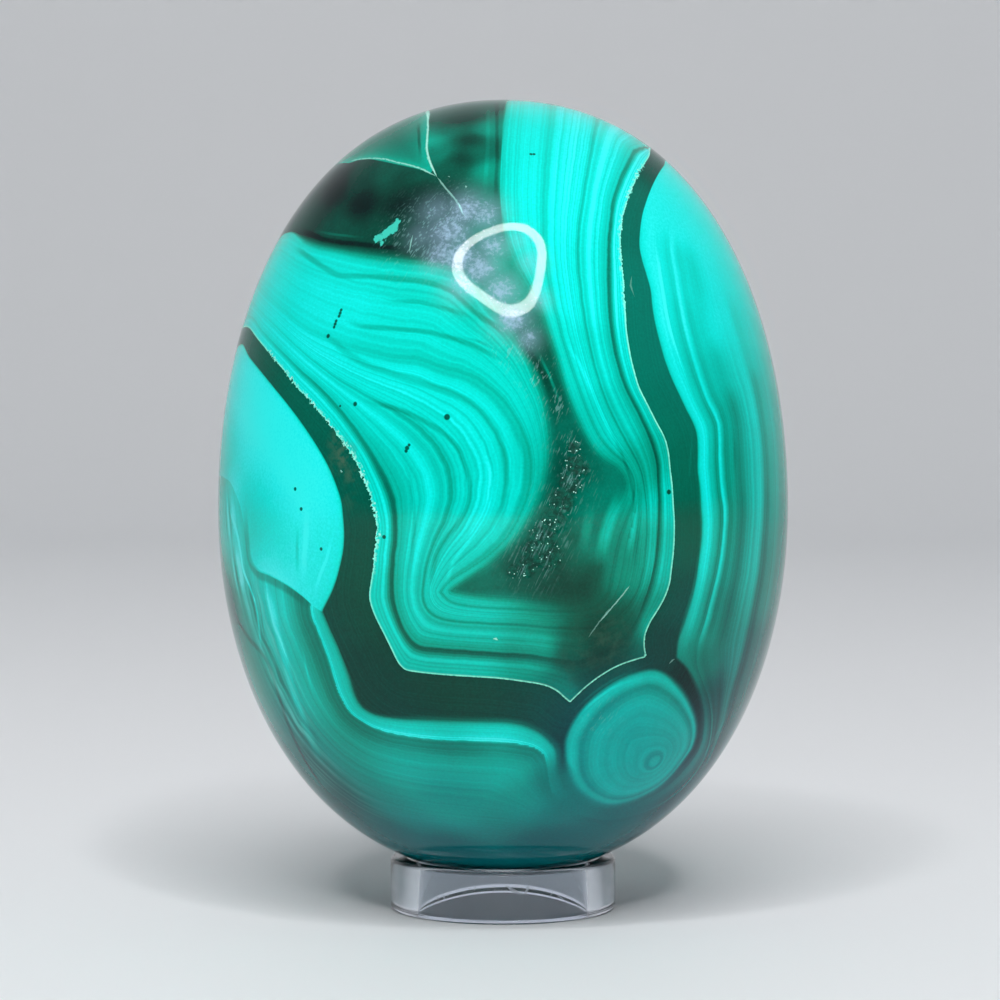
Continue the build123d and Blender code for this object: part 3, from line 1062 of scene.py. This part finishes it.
# Tone outside the dark band on the left and below: first layer 0 to 1, second 1 to 2
LOWER_TONES = [
    (0.0, 0.44), (0.08, 0.60), (0.18, 0.72), (0.36, 0.79), (0.58, 0.80), (0.76, 0.86), (0.90, 0.93),
    (0.96, 0.90), (1.0, 0.66), (1.03, 0.54), (1.09, 0.51), (1.16, 0.56), (1.24, 0.66), (1.30, 0.70),
    (1.34, 0.75), (1.40, 0.72), (1.50, 0.73), (1.58, 0.71), (1.68, 0.68), (1.85, 0.64), (2.0, 0.60),
    (2.3, 0.54), (2.7, 0.56), (3.2, 0.62), (3.8, 0.56), (4.6, 0.62), (6.0, 0.58),
]

# The same on the right
RIGHT_TONES = [
    (0.0, 0.62), (0.05, 0.80), (0.14, 0.90), (0.30, 0.93), (0.40, 0.90), (0.50, 0.78), (0.66, 0.73),
    (0.82, 0.58), (0.88, 0.60), (0.94, 0.80), (1.0, 0.93), (1.04, 0.86), (1.08, 0.64), (1.13, 0.57),
    (1.25, 0.65), (1.31, 0.56), (1.40, 0.54), (1.48, 0.58), (1.64, 0.73), (1.70, 0.78), (1.76, 0.73),
    (1.84, 0.80), (1.92, 0.83), (1.98, 0.76), (2.06, 0.60), (2.16, 0.52), (2.28, 0.52), (2.42, 0.62),
    (2.56, 0.66), (2.68, 0.62), (2.8, 0.70), (3.1, 0.60),
]

# Tone inside the smooth lobe, by millimetres from the dark band
LOBE_TONES = [
    (0.0, 0.62), (0.06, 0.80), (0.18, 0.89), (0.6, 0.91), (1.8, 0.92), (2.6, 0.92), (4.0, 0.93),
    (6.0, 0.90), (8.0, 0.86), (10.0, 0.82),
]

# Tone across the eye, from its middle (0) to its rim (1)
EYE_TONES = [
    (0.0, 0.66), (0.05, 0.72), (0.11, 0.70), (0.16, 0.60), (0.20, 0.61), (0.25, 0.73), (0.30, 0.66),
    (0.37, 0.70), (0.45, 0.66), (0.54, 0.71), (0.60, 0.67), (0.68, 0.73), (0.76, 0.69), (0.81, 0.60),
    (0.85, 0.58), (0.89, 0.72), (0.93, 0.78), (0.97, 0.69), (1.0, 0.62),
]

# Tone inside the wedge, by millimetres from its edge
WEDGE_TONES = [(0.0, 0.66), (0.4, 0.62), (1.0, 0.52), (2.0, 0.46), (4.0, 0.40)]

# The stone's colour for each tone: its own warm green in the middle of the egg, and low down or near its
# sides a cooler blue-green that paints bluish light on it
WARM_PALETTE = [
    (0.0, paint(0, 10, 10)), (0.12, paint(0, 31, 27)), (0.25, paint(0, 64, 48)),
    (0.36, paint(0, 92, 71)), (0.47, paint(0, 120, 97)), (0.58, paint(0, 148, 121)),
    (0.69, paint(0, 176, 150)), (0.78, paint(0, 200, 179)), (0.86, paint(1, 220, 202)),
    (0.93, paint(6, 238, 226)), (0.97, paint(12, 248, 243)), (1.0, paint(30, 253, 247)),
]
COOL_LIGHT_PALETTE = [
    (0.0, paint(2, 10, 18)), (0.16, paint(2, 40, 52)), (0.29, paint(4, 74, 86)),
    (0.42, paint(4, 107, 112)), (0.52, paint(4, 132, 134)), (0.64, paint(5, 163, 160)),
    (0.72, paint(5, 184, 179)), (0.84, paint(8, 214, 208)), (0.93, paint(18, 238, 233)),
    (1.0, paint(110, 255, 250)),
]


def fine_rubs():
    """Shared surface wear: a mask of faint cloudy rubs and hairline scratches."""
    tree = bpy.data.node_groups.new("fine_rubs", "ShaderNodeTree")
    tree.interface.new_socket("Place", in_out="INPUT", socket_type="NodeSocketVector")
    tree.interface.new_socket("Mask", in_out="OUTPUT", socket_type="NodeSocketFloat")
    b = Bench(tree)
    where = b.node("NodeGroupInput").outputs[0]
    cloud = b.between(b.noise(700, 4.0, where=where, roughness=0.6), 0.52, 0.72)
    hair = None
    for turn, spread in ((0.45, 240), (-1.1, 170)):
        turned = b.node("ShaderNodeMapping", vector_type="TEXTURE")
        turned.inputs["Rotation"].default_value = (0, turn, 0.3)
        turned.inputs["Scale"].default_value = (0.07, 0.07, 1.0)
        b.feed(turned.inputs["Vector"], where)
        line = b.between(b.noise(spread, 1.0, where=turned.outputs[0]), 0.70, 0.74)
        hair = line if hair is None else b.math("MAXIMUM", hair, line)
    mask = b.math("MAXIMUM", b.math("MULTIPLY", cloud, 0.5), hair)
    b.feed(b.node("NodeGroupOutput").inputs[0], mask)
    return tree


def strokes_of(b, name, count, waver):
    """The summed effect of the noted strokes, each fading from its middle to its sides."""
    total = None
    for i in range(count):
        across, width, strength = b.note_parts(f"{name}_{i}")
        away = b.math("ABSOLUTE", b.math("ADD", across, waver))
        inside = b.math("DIVIDE", b.math("SUBTRACT", width, away), b.math("MAXIMUM", width, 0.01))
        effect = b.math("MULTIPLY", b.between(inside, 0.0, 0.75), strength)
        total = effect if total is None else b.math("ADD", total, effect)
    return total


def pale_body(b, layer):
    """Tone of the pale body, with the fine laminae that follow its layers."""
    body = b.tones(layer, EDGE_TONES)
    body = b.mix(b.math("GREATER_THAN", layer, 1.0), body, b.tones(layer, OUTER_BODY_TONES))
    body = b.mix(b.math("GREATER_THAN", layer, 2.0), body, b.tones(layer, INNER_BODY_TONES))
    contrast = b.note("body_contrast")
    body = b.sharpened(body, 0.87, contrast)
    broad = b.ripple(7, 2.0, along=b.math("ADD", layer, 3.3))
    laminae = b.math("MULTIPLY_ADD", broad, 1.1, b.ripple(18, 2.0, along=layer))
    laminae = b.math("MULTIPLY", laminae, 0.165)
    body = b.math("MULTIPLY_ADD", laminae, b.math("ADD", contrast, 0.25), body)
    # Brightness notes, partly painted shading that darkens the lower part
    return b.math("MULTIPLY", body, b.note("body_tone_and_shading"))


def with_heart(b, body, grain):
    """The pale body with the dark heart inside it."""
    heart = b.math("MULTIPLY_ADD", grain, 0.12, b.note("heart_level"))
    into_heart = b.between(b.math("DIVIDE", b.note("from_heart"), b.note("heart_blur")), -0.6, 0.6)
    return b.mix(into_heart, body, heart)


def dark_band(b, seam):
    """Tone of the dark band, with faint fibres along it."""
    fibres = b.ripple(5, 4.0, along=seam, roughness=0.7)
    return b.math("MULTIPLY_ADD", fibres, 0.12, b.note("band_level"))


def outer_stone(b, outer_layer, band, waves, place_in_stone):
    """Tone outside the dark band: layers below and on the right, and the smooth lobe."""
    across = b.node("ShaderNodeSeparateXYZ")
    b.feed(across.inputs[0], place_in_stone)
    to_right = b.between(across.outputs["X"], 0.008, 0.014)
    outer = b.mix(to_right, b.tones(outer_layer, LOWER_TONES), b.tones(outer_layer, RIGHT_TONES))
    contrast = b.note("outer_contrast")
    outer = b.sharpened(outer, 0.84, contrast)
    laminae = b.math("MULTIPLY", b.ripple(16, 3.0, along=outer_layer, roughness=0.65), 0.24)
    outer = b.math("MULTIPLY_ADD", laminae, contrast, outer)
    outer = b.math("MULTIPLY_ADD", waves, 0.85, outer)
    lobe = b.tones(b.math("MULTIPLY", band, -1.0), LOBE_TONES)
    outer = b.mix(b.between(b.note("in_lobe"), -0.05, 0.05), outer, lobe)
    # Brightness notes, partly painted shading that darkens the lower part
    return b.math("MULTIPLY", outer, b.note("outer_tone_and_shading"))


def with_eyes(b, tone, grain):
    """The stone with its round, ringed eyes."""
    ring = b.note("eye_ring")
    rings = b.ripple(34, 3.0, along=ring, roughness=0.6)
    eye = b.math("MULTIPLY_ADD", rings, 0.09, b.tones(ring, EYE_TONES))
    eye = b.math("MULTIPLY_ADD", grain, 0.10, eye)
    into_eye = b.between(b.math("DIVIDE", b.note("in_eye"), b.note("eye_blur")), -0.4, 0.8)
    tone = b.mix(into_eye, tone, eye)
    back_ring = b.note("back_eye_ring")
    return b.mix(b.between(back_ring, 0.97, 1.01), b.tones(back_ring, EYE_TONES), tone)


def pit_shade_mask(b, place_in_stone):
    """Painted shade in the pits: dark in each small pit and clear elsewhere."""
    pit_depth_and_shade = 0.0
    for pixel, radius in PITS:
        away = b.node("ShaderNodeVectorMath", operation="DISTANCE")
        b.feed(away.inputs[0], place_in_stone)
        away.inputs[1].default_value = (place(pixel) + (0, 0, BELLY_LEVEL)) * MM
        pit = b.between(away.outputs["Value"], 0.7 * radius * MM, 1.2 * radius * MM, 0.62, 0.0)
        pit_depth_and_shade = b.math("MAXIMUM", pit, pit_depth_and_shade)
    return pit_depth_and_shade


def painted_crystal_glints(b, place_in_stone):
    """Painted glints: a few small bright faces among many."""
    crystals = b.node("ShaderNodeTexVoronoi")
    crystals.inputs["Scale"].default_value = 6500
    b.feed(crystals.inputs["Vector"], place_in_stone)
    chance = b.node("ShaderNodeSeparateXYZ")
    b.feed(chance.inputs[0], crystals.outputs["Color"])
    near_crystal = b.between(crystals.outputs["Distance"], 0.42, 0.24)
    return b.math("MULTIPLY", b.between(chance.outputs[1], 0.88, 0.91), near_crystal)


def green_for(b, tone):
    """The stone's colour for its tone, from the warm palette or the cool one, which paints bluish light low
    down and at the sides.
    """
    palettes = []
    for stops in (WARM_PALETTE, COOL_LIGHT_PALETTE):
        palette = b.node("ShaderNodeValToRGB")
        fill(palette, stops)
        b.feed(palette.inputs[0], tone)
        palettes.append(palette.outputs["Color"])
    return b.blend(b.note("painted_cool_light"), *palettes)


def with_bright_edge(b, colour, ragged_seam, ragged, place_in_stone):
    """The bright thread along the pale body's edge, with white teeth where the edge is ragged."""
    thread = b.math("MULTIPLY", b.between(ragged_seam, -0.01, 0.03), b.between(ragged_seam, 0.17, 0.07))
    thread = b.math("MULTIPLY", thread, b.between(ragged, -0.3, 0.2, 0.4, 0.95))
    colour = b.blend(thread, colour, paint(146, 252, 222))
    teeth = b.math("MULTIPLY", b.between(ragged_seam, -0.02, 0.05), b.between(ragged_seam, 0.36, 0.20))
    teeth = b.math("MULTIPLY", teeth, b.between(b.noise(3300, 1.0, where=place_in_stone), 0.50, 0.58))
    return b.blend(b.math("MULTIPLY", teeth, b.note("ragged")), colour, paint(172, 250, 232))


def scratch_mask(b, place_in_stone):
    """Fine slanted scratches, broken into short lengths."""
    slanted = b.node("ShaderNodeMapping", vector_type="TEXTURE")
    slanted.inputs["Rotation"].default_value = (0, math.radians(25), 0)
    slanted.inputs["Scale"].default_value = (1.0, 1.0, 14.0)
    b.feed(slanted.inputs["Vector"], place_in_stone)
    hairs = b.between(b.noise(7000, 1.0, where=slanted.outputs[0]), 0.54, 0.66)
    broken = b.between(b.noise(1300, 2.0, where=place_in_stone), 0.38, 0.60)
    return b.math("MULTIPLY", b.math("MULTIPLY", hairs, broken), b.note("scratched"))


def haze_and_glare_mask(b, place_in_stone):
    """The whitish haze round the lamp's reflection, partly painted glare: an even haze with denser mottles
    in it.
    """
    haze_and_glare = b.note("haze_and_glare")
    mottle = b.between(b.noise(2800, 5.0, where=place_in_stone, roughness=0.7), 0.32, 0.68, soft=False)
    dense = b.between(b.math("MULTIPLY_ADD", mottle, 0.50, b.math("SUBTRACT", haze_and_glare, 0.48)), 0.0, 0.80)
    return b.math("MAXIMUM", dense, b.math("MULTIPLY", haze_and_glare, 0.62))


def malachite(rubs):
    """Polished banded stone: every band's tone comes from its place among the layers."""
    material, stone, b = new_material("banded_malachite")
    seam, band, wavy = b.note("from_seam"), b.note("from_band"), b.note("wavy")
    place_in_stone = b.node("ShaderNodeTexCoord").outputs["Object"]
    grain = b.ripple(500, 4.0, where=place_in_stone, roughness=0.6)

    # Every layer wavers slightly, and the seam is ragged in places
    waver = b.ripple(900, 2.0, where=place_in_stone)
    layer = b.math("MULTIPLY_ADD", waver, 0.045, b.note("layer"))
    swell = b.math("MULTIPLY", b.ripple(260, 1.0, where=place_in_stone), wavy)
    outer_layer = b.math("MULTIPLY_ADD", waver, 0.03, b.note("outer_layer"))
    outer_layer = b.math("MULTIPLY_ADD", swell, 0.30, outer_layer)
    streaks = b.ripple(7, 2.5, along=outer_layer)
    waves = b.math("MULTIPLY", streaks, wavy)
    ragged = b.ripple(4200, 2.0, where=place_in_stone, roughness=0.6)
    how_ragged = b.math("MULTIPLY_ADD", b.note("ragged"), 1.1, 0.05)
    ragged_seam = b.math("MULTIPLY_ADD", ragged, how_ragged, seam)

    # Tones: body and heart, dark band, outer stone, eyes, wedge, veins, grain, painted shade in the pits,
    # and hollow
    body = with_heart(b, pale_body(b, layer), grain)
    tone = b.mix(b.between(ragged_seam, -0.02, 0.02), dark_band(b, seam), body)
    into_band = b.between(b.math("DIVIDE", band, b.note("band_blur")), -0.35, 1.0)
    tone = b.mix(into_band, outer_stone(b, outer_layer, band, waves, place_in_stone), tone)
    tone = with_eyes(b, tone, grain)
    in_wedge = b.note("in_wedge")
    tone = b.mix(b.between(in_wedge, -0.04, 0.04), tone, b.tones(in_wedge, WEDGE_TONES))
    tone = b.math("ADD", tone, strokes_of(b, "veins", len(VEINS), b.math("MULTIPLY", waver, 0.1)))
    tone = b.math("MULTIPLY_ADD", b.ripple(5200, 2.0, where=place_in_stone), 0.09, tone)
    # Painted shade darkens the pits; the same mask also sinks them a little in the bump
    pit_depth_and_shade = pit_shade_mask(b, place_in_stone)
    tone = b.math("MULTIPLY", tone, b.math("SUBTRACT", 1.0, pit_depth_and_shade))
    hollow = b.note("hollow")
    in_hollow = b.between(hollow, 0.35, 0.75)
    crust = b.noise(2400, 4.0, where=place_in_stone, roughness=0.7)
    crust = b.between(crust, 0.35, 0.68, 0.12, 0.42)
    tone = b.mix(b.math("MULTIPLY", in_hollow, 0.65), tone, crust)

    # Colour, with greyish clouds and milky streaks in the stone
    # Low down and near the sides the colour turns blue-green: painted bluish light
    colour = green_for(b, tone)
    clouds = b.between(b.noise(1100, 4.0, where=place_in_stone, roughness=0.6), 0.40, 0.66)
    colour = b.blend(b.math("MULTIPLY", b.note("greyness"), clouds), colour, paint(70, 104, 84))
    milky = b.math("MULTIPLY", b.math("MULTIPLY", wavy, 0.30), b.between(streaks, -0.1, 0.25))
    colour = b.blend(milky, colour, paint(150, 216, 208))

    # What lies on it: bright edge, white marks, scratches, whitish haze with painted glare, painted crystal
    # glints and the flake
    colour = with_bright_edge(b, colour, ragged_seam, ragged, place_in_stone)
    white = strokes_of(b, "white_marks", len(WHITE_MARKS), b.math("MULTIPLY", ragged, 0.12))
    colour = b.blend(b.math("MINIMUM", white, 1.0), colour, paint(176, 250, 232))
    scratches = b.math("MULTIPLY", scratch_mask(b, place_in_stone), 0.42)
    colour = b.blend(scratches, colour, paint(140, 200, 196))
    haze_and_glare = haze_and_glare_mask(b, place_in_stone)
    # Whitish haze, partly painted glare from the lamp's reflection
    colour = b.blend(b.math("MULTIPLY", haze_and_glare, 0.85), colour, paint(164, 196, 222))
    # Painted glints on the crystals in the hollow
    painted_glints = b.math("MULTIPLY", painted_crystal_glints(b, place_in_stone), b.between(hollow, 0.3, 0.6))
    colour = b.blend(painted_glints, colour, paint(190, 255, 240))
    flake = b.between(b.math("MULTIPLY_ADD", ragged, 0.7, b.note("flake")), 0.46, 0.60)
    colour = b.blend(b.math("MULTIPLY", flake, 0.75), colour, paint(70, 226, 204))
    b.feed(stone.inputs["Base Color"], colour)

    # Polish, slightly dulled by rubs and haze, and rough in the hollow
    rub = b.node("ShaderNodeGroup", node_tree=rubs)
    b.feed(rub.inputs[0], place_in_stone)
    rough = b.math("MULTIPLY_ADD", rub.outputs[0], 0.05, 0.02)
    rough = b.math("MULTIPLY_ADD", haze_and_glare, 0.03, rough)
    rough = b.math("MAXIMUM", rough, b.math("MULTIPLY", in_hollow, 0.45))
    b.feed(stone.inputs["Roughness"], rough)
    stone.inputs["Specular IOR Level"].default_value = 0.19
    stone.inputs["IOR"].default_value = 1.5
    bump = b.node("ShaderNodeBump")
    bump.inputs["Strength"].default_value = 0.35
    bump.inputs["Distance"].default_value = 0.00002
    b.feed(bump.inputs["Height"], b.math("MULTIPLY", pit_depth_and_shade, -2.0))
    b.feed(stone.inputs["Normal"], bump.outputs[0])
    return material


def clear_acrylic(rubs):
    """Clear cast acrylic with a trace of blue."""
    material, acrylic, b = new_material("clear_acrylic")
    acrylic.inputs["Base Color"].default_value = paint(243, 247, 255)
    acrylic.inputs["Transmission Weight"].default_value = 1.0
    acrylic.inputs["IOR"].default_value = 1.49
    rub = b.node("ShaderNodeGroup", node_tree=rubs)
    b.feed(rub.inputs[0], b.node("ShaderNodeTexCoord").outputs["Object"])
    b.feed(acrylic.inputs["Roughness"], b.math("MULTIPLY_ADD", rub.outputs[0], 0.12, 0.01))
    return material


# ---------------------------------------------------------------------------------------------
# Studio
# ---------------------------------------------------------------------------------------------

FLOOR_HALF = 3.0               # m
BACKDROP_AT = 0.9              # m behind the egg
BACKDROP_HEIGHT = 1.4          # m
BACKDROP_BEND = 0.35           # m


def make_floor():
    """A pale floor that sweeps up into the backdrop."""
    start_clean()
    bpy.ops.mesh.primitive_plane_add(size=2 * FLOOR_HALF, location=(0, BACKDROP_AT - FLOOR_HALF, 0))
    floor = bpy.context.object
    floor.name = "pale_sweep"
    bpy.ops.object.transform_apply(location=True, rotation=True, scale=True)
    bpy.ops.object.mode_set(mode="EDIT")
    bpy.ops.mesh.select_mode(type="EDGE")
    bpy.ops.mesh.select_all(action="DESELECT")
    bpy.ops.object.mode_set(mode="OBJECT")
    mesh = floor.data
    for edge in mesh.edges:
        edge.select = all(mesh.vertices[v].co.y > BACKDROP_AT - 1e-4 for v in edge.vertices)
    bpy.ops.object.mode_set(mode="EDIT")
    bpy.ops.mesh.extrude_region_move(TRANSFORM_OT_translate={"value": (0, 0, BACKDROP_HEIGHT)})
    bpy.ops.mesh.select_all(action="DESELECT")
    bpy.ops.object.mode_set(mode="OBJECT")
    for edge in mesh.edges:
        ends = [mesh.vertices[v].co for v in edge.vertices]
        edge.select = all(abs(e.z) < 1e-5 and e.y > BACKDROP_AT - 1e-4 for e in ends)
    bpy.ops.object.mode_set(mode="EDIT")
    bpy.ops.mesh.bevel(offset=BACKDROP_BEND, segments=24, affect="EDGES")
    bpy.ops.mesh.select_all(action="SELECT")
    bpy.ops.mesh.normals_make_consistent(inside=True)
    bpy.ops.object.mode_set(mode="OBJECT")
    bpy.ops.object.shade_smooth()
    material, paper, _ = new_material("pale_paper")
    paper.inputs["Base Color"].default_value = (0.86, 0.87, 0.89, 1)
    paper.inputs["Roughness"].default_value = 0.6
    floor.data.materials.clear()
    floor.data.materials.append(material)


LAMP_RISE = math.radians(50)
LAMP_DISTANCE = 1.0
LAMP_WIDTH = 0.70
LAMP_LENGTH = 0.53
LAMP_POWER = 9.7
LAMP_ROUNDNESS = 0.12          # how far the ring's shape leans to a rounded triangle
LAMP_TURN = math.radians(52)
LAMP_INNER = 0.81              # the ring lamp's hole, share of its radius
LAMP_RIM = 0.495               # where the lit ring starts to fade outwards, share of its width
LAMP_FADE = 0.02               # how wide both edges of the lit ring are, share of its width
LAMP_GLOW = 3.0                # strength of the lit ring


def make_lamp():
    """A round lamp with a dark middle, high in front, which shows as a bright ring on the polish."""
    lamp = bpy.data.lights.new("ring_lamp", "AREA")
    lamp.shape = "ELLIPSE"
    lamp.size = LAMP_WIDTH
    lamp.size_y = LAMP_LENGTH
    lamp.energy = LAMP_POWER
    holder = bpy.data.objects.new("ring_lamp", lamp)
    bpy.context.scene.collection.objects.link(holder)
    aim = Vector((0, 0, BELLY_LEVEL * MM))
    holder.location = aim + LAMP_DISTANCE * Vector((0, -math.cos(LAMP_RISE), math.sin(LAMP_RISE)))
    holder.rotation_euler = (aim - holder.location).to_track_quat("-Z", "Y").to_euler()
    lamp.use_nodes = True
    b = Bench(lamp.node_tree)
    spot_on_lamp = b.node("ShaderNodeNewGeometry").outputs["Parametric"]
    centred = b.node("ShaderNodeVectorMath", operation="SUBTRACT")
    b.feed(centred.inputs[0], spot_on_lamp)
    centred.inputs[1].default_value = (0.5, 0.5, 0.0)
    parts = b.node("ShaderNodeSeparateXYZ")
    b.feed(parts.inputs[0], centred.outputs[0])
    x, y = parts.outputs[0], parts.outputs[1]
    radius = b.math("SQRT", b.math("ADD", b.math("MULTIPLY", x, x), b.math("MULTIPLY", y, y)))
    angle = b.math("ARCTAN2", y, x)
    lobes = b.math("COSINE", b.math("MULTIPLY", b.math("SUBTRACT", angle, LAMP_TURN), 3.0))
    radius = b.math("MULTIPLY", radius, b.math("MULTIPLY_ADD", lobes, -LAMP_ROUNDNESS, 1.0 + LAMP_ROUNDNESS))
    glow = b.between(radius, 0.5 * LAMP_INNER - LAMP_FADE, 0.5 * LAMP_INNER, 0.0, LAMP_GLOW)
    glow = b.math("MULTIPLY", glow, b.between(radius, LAMP_RIM + LAMP_FADE, LAMP_RIM))
    emission = next(n for n in lamp.node_tree.nodes if n.type == "EMISSION")
    b.feed(emission.inputs["Strength"], glow)


WORLD_LOW, WORLD_HIGH = 0.12, 0.32      # the room's light level with the horizon and overhead
WORLD_OVERHEAD = 0.9                    # upward share of a direction that counts as overhead


def make_world():
    world = bpy.data.worlds.new("soft_room")
    bpy.context.scene.world = world
    world.use_nodes = True
    background = world.node_tree.nodes["Background"]
    background.inputs[0].default_value = (0.93, 0.97, 1.0, 1)
    b = Bench(world.node_tree)
    ray = b.node("ShaderNodeSeparateXYZ")
    b.feed(ray.inputs[0], b.node("ShaderNodeTexCoord").outputs["Generated"])
    b.feed(background.inputs[1], b.between(ray.outputs[2], 0.0, WORLD_OVERHEAD, WORLD_LOW, WORLD_HIGH))


def make_camera():
    camera = bpy.data.cameras.new("camera")
    holder = bpy.data.objects.new("camera", camera)
    bpy.context.scene.collection.objects.link(holder)
    bpy.context.scene.camera = holder
    camera.sensor_width = SENSOR
    camera.lens = SENSOR * FOCAL / PICTURE
    camera.clip_start = 0.01
    camera.clip_end = 20
    camera.shift_x = (PICTURE / 2 - AXIS_X) / PICTURE
    camera.shift_y = (BELLY_Y - PICTURE / 2) / PICTURE
    aim = Vector((0, 0, BELLY_LEVEL * MM))
    holder.location = aim + Vector((EYE_POINT * MM).tolist())
    holder.rotation_euler = (aim - holder.location).to_track_quat("-Z", "Y").to_euler()


make_camera()
make_world()
make_lamp()
make_floor()
rubs_group = fine_rubs()
make_ring(rubs_group)
make_egg(rubs_group)

bpy.context.scene.view_settings.view_transform = "Standard"
bpy.context.view_layer.update()
